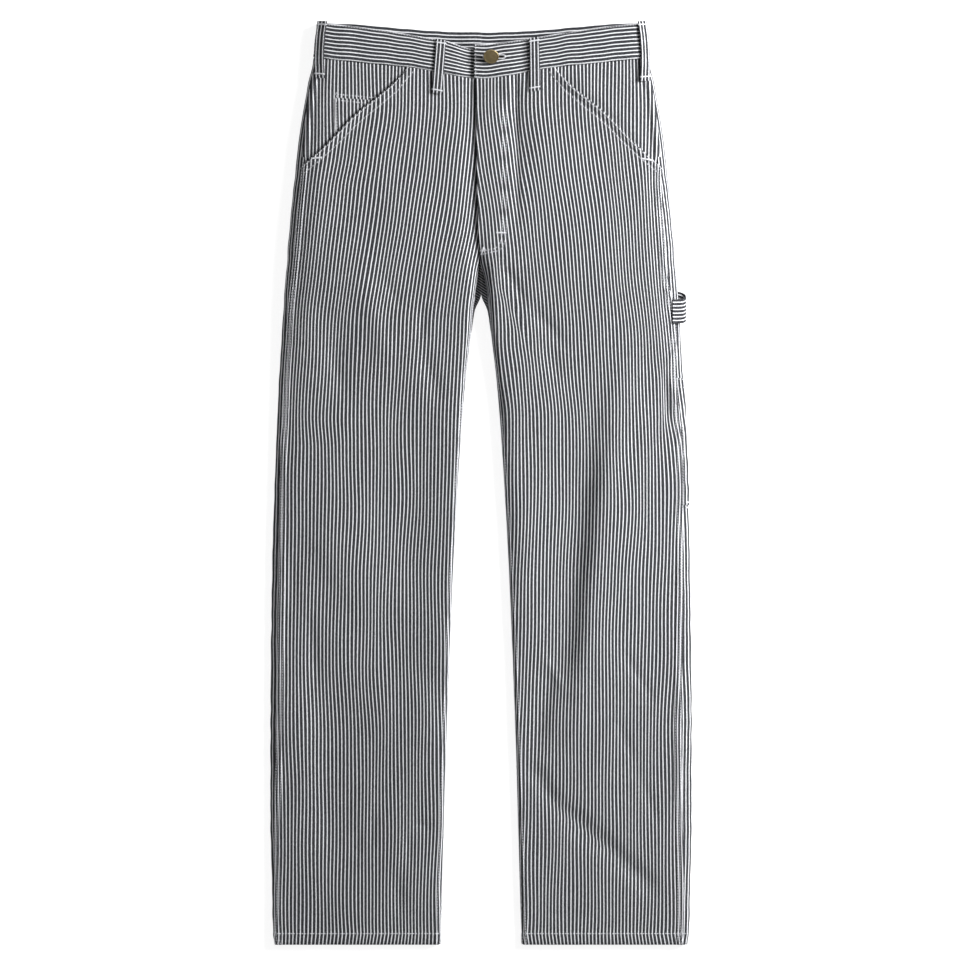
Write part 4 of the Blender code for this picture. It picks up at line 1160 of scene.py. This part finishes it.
def stitch_tree():
    """Geometry Nodes that lay stitches along edges: rows, bars and buttonhole edges."""
    name = "sewn_row"
    if name in bpy.data.node_groups:
        return bpy.data.node_groups[name]
    tree = bpy.data.node_groups.new(name, "GeometryNodeTree")
    sides = tree.interface
    sides.new_socket("Geometry", in_out="INPUT", socket_type="NodeSocketGeometry")
    for label, value in (("Pitch", 0.0032), ("Length", 0.0024), ("Thickness", 0.0007),
                         ("Turn", 0.0), ("Lift", 0.0001), ("Waver", 0.05)):
        socket = sides.new_socket(label, in_out="INPUT", socket_type="NodeSocketFloat")
        socket.default_value = value
    seed = sides.new_socket("Seed", in_out="INPUT", socket_type="NodeSocketInt")
    seed.default_value = 3
    sides.new_socket("Thread", in_out="INPUT", socket_type="NodeSocketMaterial")
    sides.new_socket("Geometry", in_out="OUTPUT", socket_type="NodeSocketGeometry")
    given = tree.nodes.new("NodeGroupInput").outputs
    result = tree.nodes.new("NodeGroupOutput")
    curve = add_node(tree, "GeometryNodeMeshToCurve", {0: given["Geometry"]})
    rows = add_node(tree, "GeometryNodeResampleCurve",
                    {"Curve": curve.outputs[0], "Length": given["Pitch"]}, mode="LENGTH")
    up = add_node(tree, "GeometryNodeInputNamedAttribute", {"Name": "up"},
                  data_type="FLOAT_VECTOR").outputs[0]
    tangent = add_node(tree, "GeometryNodeInputTangent").outputs[0]
    stand = add_node(tree, "FunctionNodeAlignRotationToVector", {"Vector": up}, axis="Z")
    aim = add_node(tree, "FunctionNodeAlignRotationToVector",
                   {"Rotation": stand.outputs[0], "Vector": tangent}, axis="X",
                   pivot_axis="Z")
    waver = add_node(tree, "FunctionNodeRandomValue",
                     {2: math_node(tree, "MULTIPLY", given["Waver"], -1.0),
                      3: given["Waver"], "Seed": given["Seed"]}, data_type="FLOAT")
    turn = math_node(tree, "ADD", given["Turn"], waver.outputs[1])
    spin = add_node(tree, "ShaderNodeCombineXYZ", {"Z": turn}).outputs[0]
    euler = add_node(tree, "FunctionNodeEulerToRotation", {0: spin}).outputs[0]
    facing = add_node(tree, "FunctionNodeRotateRotation",
                      {0: aim.outputs[0], 1: euler}, rotation_space="LOCAL").outputs[0]
    ball = add_node(tree, "GeometryNodeMeshUVSphere",
                    {"Segments": 6, "Rings": 4, "Radius": 0.5})
    size = add_node(tree, "ShaderNodeCombineXYZ",
                    {"X": given["Length"], "Y": given["Thickness"],
                     "Z": math_node(tree, "MULTIPLY", given["Thickness"], 0.75)})
    shift = add_node(tree, "ShaderNodeVectorMath", {0: up, "Scale": given["Lift"]},
                     operation="SCALE")
    raised = add_node(tree, "GeometryNodeSetPosition",
                      {"Geometry": rows.outputs[0], "Offset": shift.outputs[0]})
    stitches = add_node(tree, "GeometryNodeInstanceOnPoints",
                        {"Points": raised.outputs[0], "Instance": ball.outputs[0],
                         "Rotation": facing, "Scale": size.outputs[0]})
    real = add_node(tree, "GeometryNodeRealizeInstances", {0: stitches.outputs[0]})
    sewn = add_node(tree, "GeometryNodeSetMaterial",
                    {"Geometry": real.outputs[0], "Material": given["Thread"]})
    tree.links.new(sewn.outputs[0], result.inputs[0])
    return tree


class Surface:
    """Finished pieces as one surface, to lay sewing on it from above or from below."""

    def __init__(self, names):
        points, faces = [], []
        for name in names:
            data = bpy.data.objects[name].data
            start = len(points)
            points += [v.co.copy() for v in data.vertices]
            faces += [[start + k for k in p.vertices] for p in data.polygons]
        self.tree = BVHTree.FromPolygons(points, faces)

    def drop(self, x, y, below=False):
        """The point straight under or over a place in plan, with its outward normal."""
        way = Vector((0, 0, 1 if below else -1))
        start = Vector((x * MM, y * MM, -0.1 if below else 0.1))
        spot, normal, _, _ = self.tree.ray_cast(start, way)
        if spot is None:
            return None
        return spot, normal if normal.dot(way) < 0 else -normal


def spread(route, step=1.0):
    """Points along a route in plan, a step apart."""
    route = np.array(route, float)
    sizes = np.hypot(*np.diff(route, axis=0).T)
    run = np.concatenate(([0.0], np.cumsum(sizes)))
    at = np.linspace(0, run[-1], max(2, int(run[-1] / step) + 1))
    return np.stack((np.interp(at, run, route[:, 0]), np.interp(at, run, route[:, 1])),
                    axis=1)


def sew(name, surface, routes, turn=0.0, pitch=None, length=None, thickness=None,
        below=False, waver=0.05, lift=0.1):
    """Sews rows along routes in plan, as one plain mesh of stitches."""
    sewing = bpy.context.scene.trouser_sewing
    points, ups, edges = [], [], []
    for route in routes:
        last = None
        for x, y in spread(route):
            found = surface.drop(x, y, below)
            if found is None:
                last = None
                continue
            points.append(found[0])
            ups.append(found[1])
            if last is not None and (points[-1] - points[last]).length < 0.006:
                edges.append((last, len(points) - 1))
            last = len(points) - 1
    data = bpy.data.meshes.new(name)
    data.from_pydata(points, edges, [])
    layer = data.attributes.new("up", "FLOAT_VECTOR", "POINT")
    layer.data.foreach_set("vector", np.array(ups, float).ravel())
    piece = add_object(name, data)
    tree = stitch_tree()
    rows = piece.modifiers.new("sewing", "NODES")
    rows.node_group = tree
    values = {"Pitch": pitch or sewing.stitch_pitch,
              "Length": length or sewing.stitch_length,
              "Thickness": thickness or sewing.thread_thickness,
              "Turn": turn, "Lift": lift * MM, "Waver": waver,
              "Thread": bpy.data.materials.get("bleached_cotton_thread")
              or cotton_thread(sewing)}
    for item in tree.interface.items_tree:
        if item.item_type == "SOCKET" and item.in_out == "INPUT" and item.name in values:
            rows[item.identifier] = values[item.name]
    make_plain(piece)
    piece.data.shade_smooth()
    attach(piece, "root")


def sew_bars(name, surface, routes, length, lift=0.1):
    """Sews thick bars, of close stitches that stand across their routes."""
    sew(name, surface, routes, turn=math.pi / 2, pitch=0.0006, length=length, waver=0.12,
        lift=lift)


def seam_route(side, inset, low, high, step=6.0, inner=False):
    """A route in plan beside the side seam or the inseam, inset over the front."""
    route = []
    for y in levels((low, high), step):
        section = HalfSection(side, y)
        arc = inset if inner else section.seam() + SEAM_LAP - inset
        x, real_y, _ = section.points(np.array([arc]))[0]
        route.append((x, real_y))
    return route


def mouth_route(side, inset, high):
    """A route in plan along the slanted mouth, inset from its edge."""
    edge = np.array([(x, y) for y, x in MOUTH_ROWS], float)
    line = spread(edge, 4.0)
    along = np.gradient(line, axis=0)
    along /= np.linalg.norm(along, axis=1, keepdims=True)
    inside = line + np.stack((-along[:, 1], along[:, 0]), axis=1) * inset
    route = []
    for x, y in inside:
        section = HalfSection(side, y)
        real = float(section.row_y(x, section.height))
        if real < high:
            route.append((SIGN[side] * x, real))
    return route


def length_setting(name, description, metres):
    """A length that the panel shows."""
    return bpy.props.FloatProperty(name=name, description=description, default=metres,
                                   unit="LENGTH", precision=5)


def colour_setting(name, description, hex_colour):
    """A colour that the panel shows as its sRGB hex value."""
    return bpy.props.StringProperty(name=name, default=hex_colour,
                                    description="sRGB hex colour " + description)


class ClothSettings(bpy.types.PropertyGroup):
    """The cloth's sizes and colours."""

    stripe_pitch: length_setting("Stripe pitch", "From one pale stripe to the next", 0.0042)
    pale_share: bpy.props.FloatProperty(
        name="Pale share", description="How much of the pitch is pale", default=0.252,
        subtype="FACTOR", min=0, max=1)
    unevenness: length_setting("Unevenness", "How far the laid cloth stands out of true",
                               0.0006)
    dark_colour: colour_setting("Dark stripe", "of the dark warp", "#121418")
    worn_colour: colour_setting("Worn dark stripe", "where the dark has faded", "#1c1f26")
    pale_colour: colour_setting("Pale stripe", "of the pale warp", "#eaebef")
    pale_shade: colour_setting("Pale stripe shade", "between pale threads", "#dcdde1")


class SewingSettings(bpy.types.PropertyGroup):
    """The sewing's sizes and colours."""

    stitch_pitch: length_setting("Stitch pitch", "From one to the next, eight to the inch",
                                 0.0032)
    stitch_length: length_setting("Stitch length", "The part of a stitch that shows", 0.0025)
    thread_thickness: length_setting("Thread", "Thickness of the sewing thread", 0.0009)
    thread_colour: colour_setting("Thread colour", "of the thread", "#e2e3e7")
    thread_shade: colour_setting("Thread shade", "in the thread's twist", "#cccdd2")


class ButtonSettings(bpy.types.PropertyGroup):
    """The button's size and colours."""

    button_radius: length_setting("Button radius", "Outer radius of the cap", 0.009)
    brass: colour_setting("Brass", "where the brass is bright", "#ac9a74")
    patina: colour_setting("Patina", "where the brass has browned", "#7d6f50")


class StageSettings(bpy.types.PropertyGroup):
    """The floor, the light and the camera."""

    floor_colour: colour_setting("Floor", "of the floor", "#bcbcbc")
    floor_glow: bpy.props.FloatProperty(
        name="Floor glow", description="How strongly the floor is lit from below",
        default=0.82)
    field_width: length_setting("Field", "Width of the view at the garment", 1.1118)
    camera_height: length_setting("Camera height", "Height of the camera over the garment",
                                  4.2)
    key_power: bpy.props.FloatProperty(
        name="Key light", description="Power of the large soft light", default=111.0,
        unit="POWER")
    sky: bpy.props.FloatProperty(
        name="Room light", description="Strength of the even light of the room",
        default=0.27)


def add_sheet(name, cloth, node):
    piece = add_piece(name, cloth.mesh(name), denim(), [node])


class TROUSERS_OT_back_panels(bpy.types.Operator):
    """Cuts and lays the two back leg panels"""

    bl_idname = "trousers.back_panels"
    bl_label = "Back panels"

    def execute(self, context):
        for side in ("right", "left"):
            add_sheet("back_panel_" + side, back_panel(side), "back_" + side)
        return {"FINISHED"}


class TROUSERS_OT_pocket_pieces(bpy.types.Operator):
    """Makes the pocket facings, the coin pocket and the tool pocket"""

    bl_idname = "trousers.pocket_pieces"
    bl_label = "Pocket pieces"

    def execute(self, context):
        for side in ("right", "left"):
            add_sheet("facing_" + side, pocket_facing(side), "pocket_facing_" + side)
        add_sheet("coin_pocket_patch", coin_pocket(), "coin_pocket")
        add_sheet("tool_pocket_patch", tool_pocket(), "tool_pocket")
        return {"FINISHED"}


class TROUSERS_OT_front_panels(bpy.types.Operator):
    """Cuts and lays the two front leg panels"""

    bl_idname = "trousers.front_panels"
    bl_label = "Front panels"

    def execute(self, context):
        for side in ("right", "left"):
            add_sheet("front_panel_" + side, front_panel(side), "front_" + side)
        return {"FINISHED"}


class TROUSERS_OT_waistband(bpy.types.Operator):
    """Makes the two halves of the waistband and the buttonhole"""

    bl_idname = "trousers.waistband"
    bl_label = "Waistband"

    def execute(self, context):
        for side in ("right", "left"):
            name = "waistband_half_" + side
            piece = add_piece(name, waistband(side).mesh(name), denim(),
                              ["waistband_" + side])
            if side == "left":
                cut_buttonhole(piece)
        return {"FINISHED"}


class TROUSERS_OT_loops(bpy.types.Operator):
    """Makes the belt loops and the hammer loop"""

    bl_idname = "trousers.loops"
    bl_label = "Loops"

    def execute(self, context):
        for row in BELT_LOOP_ROWS:
            add_sheet(row[0].replace("belt_loop", "belt_strap"), belt_loop(row), row[0])
        add_sheet("hammer_strap", hammer_loop(), "hammer_loop")
        return {"FINISHED"}


class TROUSERS_OT_button(bpy.types.Operator):
    """Makes the brass button"""

    bl_idname = "trousers.button"
    bl_label = "Button"

    def execute(self, context):
        metal = context.scene.trouser_button
        add_piece("brass_button", button_mesh(metal), aged_brass(metal), ["button"])
        return {"FINISHED"}


class TROUSERS_OT_sewing(bpy.types.Operator):
    """Sews the seams, hems, pockets, fly and loops"""

    bl_idname = "trousers.sewing"
    bl_label = "Sewing"

    def execute(self, context):
        legs = Surface(["front_panel_right", "front_panel_left", "back_panel_right",
                        "back_panel_left", "facing_right", "facing_left",
                        "coin_pocket_patch", "tool_pocket_patch"])
        band = Surface(["waistband_half_right", "waistband_half_left"])
        self.sew_sides(legs)
        self.sew_hems(legs)
        self.sew_pockets(legs)
        self.sew_fly(legs)
        self.sew_band(band)
        self.sew_loops()
        return {"FINISHED"}

    def sew_sides(self, legs):
        """Three rows on each side seam and two on each inseam."""
        for side in ("right", "left"):
            rows = [seam_route(side, inset, HEM_Y + 2, 366.0)
                    for inset in (1.3, 3.9, 7.0)]
            sew("side_rows_" + side, legs, rows, thickness=0.00065)
            rows = [seam_route(side, inset, HEM_Y + 2, 214.0, inner=True)
                    for inset in (2.4, 8.2)]
            sew("inseam_rows_" + side, legs, rows)

    def sew_hems(self, legs):
        """One row round each hem, over the front and under the back."""
        for below in (False, True):
            rows = [[(sign * 49.5, HEM_LINE_Y), (sign * 239.0, HEM_LINE_Y)]
                    for sign in (-1, 1)]
            sew("hem_rows_back" if below else "hem_rows_front", legs, rows, below=below)

    def sew_pockets(self, legs):
        """Two rows along each slanted mouth, and those of the small pockets."""
        rows = [mouth_route(side, inset, 484.0) for side in ("right", "left")
                for inset in (1.6, 8.4)]
        top, side_x = 451.2, 166.0
        rows += [[(-side_x - 3.0, top - 1.2), (-122.0, top - 5.4)],
                 [(-side_x - 2.0, top - 8.0), (-131.0, top - 12.0)],
                 [(-side_x - 1.6, top), (-side_x - 0.6, top - 44.0)],
                 [(-side_x - 1.6, top - 9.0), (-side_x + 6.5, top - 2.0)]]
        sew("pocket_rows", legs, rows)
        low, high = TOOL_POCKET_Y
        edge = seam_route("left", SEAM_LAP - 4.6, low + 1.5, high - 1.5, step=8.0)
        x, y = edge[-1]
        rows = [edge, [(x, y), (x + 12.0, y - 0.5)],
                [(x, high - 10.5), (x + 12.0, high - 11.0)]]
        sew("tool_pocket_rows", legs, rows)
        bars = [[(-184.0, 376.6), (-196.0, 375.4)], [(185.5, 375.2), (198.8, 373.0)],
                [(237.4, -22.0), (241.0, -22.0)], [(237.4, -28.0), (241.0, -28.0)]]
        sew_bars("pocket_bars", legs, bars, length=0.0022, lift=0.3)

    def sew_fly(self, legs):
        """The two rows that curve below the zip, and their bars."""
        rows = []
        for shift in (0.0, 4.4):
            x = 29.0 - shift
            low = 277.4 + shift * 0.2
            bow = [(x, 467.5), (x - 0.2, low + 12), (x - 1.4, low + 3),
                   (x - 4.4, low - 5.5 + shift * 0.3), (x - 9.6, low - 9.0 + shift * 0.3),
                   (-0.6, low - 13.2 + shift * 0.6)]
            rows.append(bow)
        sew("fly_rows", legs, rows)
        bars = [[(17.8, 289.4), (28.6, 289.0)], [(-0.8, 269.0), (4.6, 270.2)],
                [(0.2, 264.6), (2.8, 272.6)]]
        sew_bars("fly_bars", legs, bars, length=0.002, lift=0.3)

    def sew_band(self, band):
        """Rows along both edges of the waistband, and the buttonhole's edge."""
        rows = []
        for side in ("right", "left"):
            first = 10.0 if side == "right" else -6.4
            for level in (WAIST_SEAM_Y + 1.4, BAND_TOP_Y - 1.5):
                section = band_section(side, level)
                x = np.linspace(first, 188.0, 60)
                y = section.row_y(x, np.full(60, section.height))
                rows.append([(SIGN[side] * a, b) for a, b in zip(x, y)])
        rows.append([(-6.2, 472.6), (-6.4, 506.8)])
        sew("waistband_rows", band, rows, thickness=0.0006)
        ring = buttonhole_ring(1.0, 0.9)
        ring.append(ring[0])
        sew("buttonhole_edge", band, [ring], turn=math.pi / 2, pitch=0.00055,
            length=0.0017, thickness=0.0005, waver=0.1, lift=0.0)

    def sew_loops(self):
        """Two rows along each belt loop, with bars at their ends."""
        rows, bars = [], []
        names = []
        for row in BELT_LOOP_ROWS:
            strip = belt_loop(row)
            names.append(row[0].replace("belt_loop", "belt_strap"))
            for inset in (-0.35, 0.35):
                line = strip.points + strip.across * BELT_LOOP_WIDTH * inset
                rows.append([tuple(p[:2]) for p in line[1:-1]])
            for place in (2, -3):
                middle, across = strip.points[place], strip.across[place]
                ends = [middle + across * BELT_LOOP_WIDTH * s for s in (-0.5, 0.5)]
                bars.append([tuple(p[:2]) for p in ends])
        loops = Surface(names)
        sew("loop_rows", loops, rows)
        sew_bars("loop_bars", loops, bars, length=0.0019)


class TROUSERS_OT_stage(bpy.types.Operator):
    """Sets the floor, the light and the camera"""

    bl_idname = "trousers.stage"
    bl_label = "Stage"

    def execute(self, context):
        stage = context.scene.trouser_stage
        self.lay_floor(stage)
        self.light(context.scene, stage)
        self.set_camera(context.scene, stage)
        return {"FINISHED"}

    def lay_floor(self, stage):
        """A plain matt floor, wide enough for low views."""
        work = bmesh.new()
        bmesh.ops.create_grid(work, x_segments=2, y_segments=2, size=6.0)
        bmesh.ops.translate(work, vec=Vector((0, 0, -0.0002)), verts=work.verts[:])
        data = bpy.data.meshes.new("floor")
        work.to_mesh(data)
        work.free()
        finish, _ = new_finish(
            "matt_painted_floor", Base_Color=paint(stage.floor_colour), Roughness=0.9,
            Specular_IOR_Level=0.1, Emission_Color=(1, 1, 1, 1),
            Emission_Strength=stage.floor_glow)
        data.materials.append(finish)
        floor = add_object("floor", data)

    def light(self, scene, stage):
        """A large soft light from the wearer's left and the waist, and a pale room."""
        world = bpy.data.worlds.new("pale_room")
        world.use_nodes = True
        shader = world.node_tree.nodes["Background"]
        shader.inputs["Color"].default_value = (1, 1, 1, 1)
        shader.inputs["Strength"].default_value = stage.sky
        scene.world = world
        data = bpy.data.lights.new("key", "AREA")
        data.shape = "RECTANGLE"
        data.size, data.size_y = KEY_LIGHT_SIZE, KEY_LIGHT_SIZE
        data.energy = stage.key_power
        key = add_object("key", data)
        key.location = KEY_LIGHT_AT
        key.rotation_euler = (-key.location).to_track_quat("-Z", "Y").to_euler()

    def set_camera(self, scene, stage):
        """Straight over the garment, with a long lens, as in a shop's photograph."""
        data = bpy.data.cameras.new("camera")
        data.sensor_width = 36.0
        data.lens = data.sensor_width * stage.camera_height / stage.field_width
        data.clip_end = 50.0
        camera = add_object("camera", data)
        camera.location = (*CAMERA_SHIFT, stage.camera_height + CAMERA_FOCUS)
        scene.camera = camera
        scene.view_settings.view_transform = "Standard"


class TROUSERS_PT_panel(bpy.types.Panel):
    """Lists the garment's settings and its pieces"""

    bl_idname = "TROUSERS_PT_panel"
    bl_label = "Trousers"
    bl_space_type = "VIEW_3D"
    bl_region_type = "UI"
    bl_category = "Trousers"

    def draw(self, context):
        for group, _ in SETTINGS:
            settings = getattr(context.scene, group)
            box = self.layout.box()
            for name in settings.__annotations__:
                box.prop(settings, name)
        for operator in PIECES:
            self.layout.operator(operator.bl_idname)


SETTINGS = (("trouser_cloth", ClothSettings), ("trouser_sewing", SewingSettings),
            ("trouser_button", ButtonSettings), ("trouser_stage", StageSettings))
PIECES = (TROUSERS_OT_back_panels, TROUSERS_OT_pocket_pieces, TROUSERS_OT_front_panels,
          TROUSERS_OT_waistband, TROUSERS_OT_loops, TROUSERS_OT_button,
          TROUSERS_OT_sewing, TROUSERS_OT_stage)


def register():
    for name, settings in SETTINGS:
        bpy.utils.register_class(settings)
        setattr(bpy.types.Scene, name, bpy.props.PointerProperty(type=settings))
    for part in (*PIECES, TROUSERS_PT_panel):
        bpy.utils.register_class(part)


def unregister():
    for part in (TROUSERS_PT_panel, *reversed(PIECES)):
        bpy.utils.unregister_class(part)
    for name, settings in reversed(SETTINGS):
        delattr(bpy.types.Scene, name)
        bpy.utils.unregister_class(settings)


def main():
    register()
    bpy.ops.trousers.back_panels()
    bpy.ops.trousers.pocket_pieces()
    bpy.ops.trousers.front_panels()
    bpy.ops.trousers.waistband()
    bpy.ops.trousers.loops()
    bpy.ops.trousers.button()
    bpy.ops.trousers.sewing()
    bpy.ops.trousers.stage()


if __name__ == "__main__":
    main()
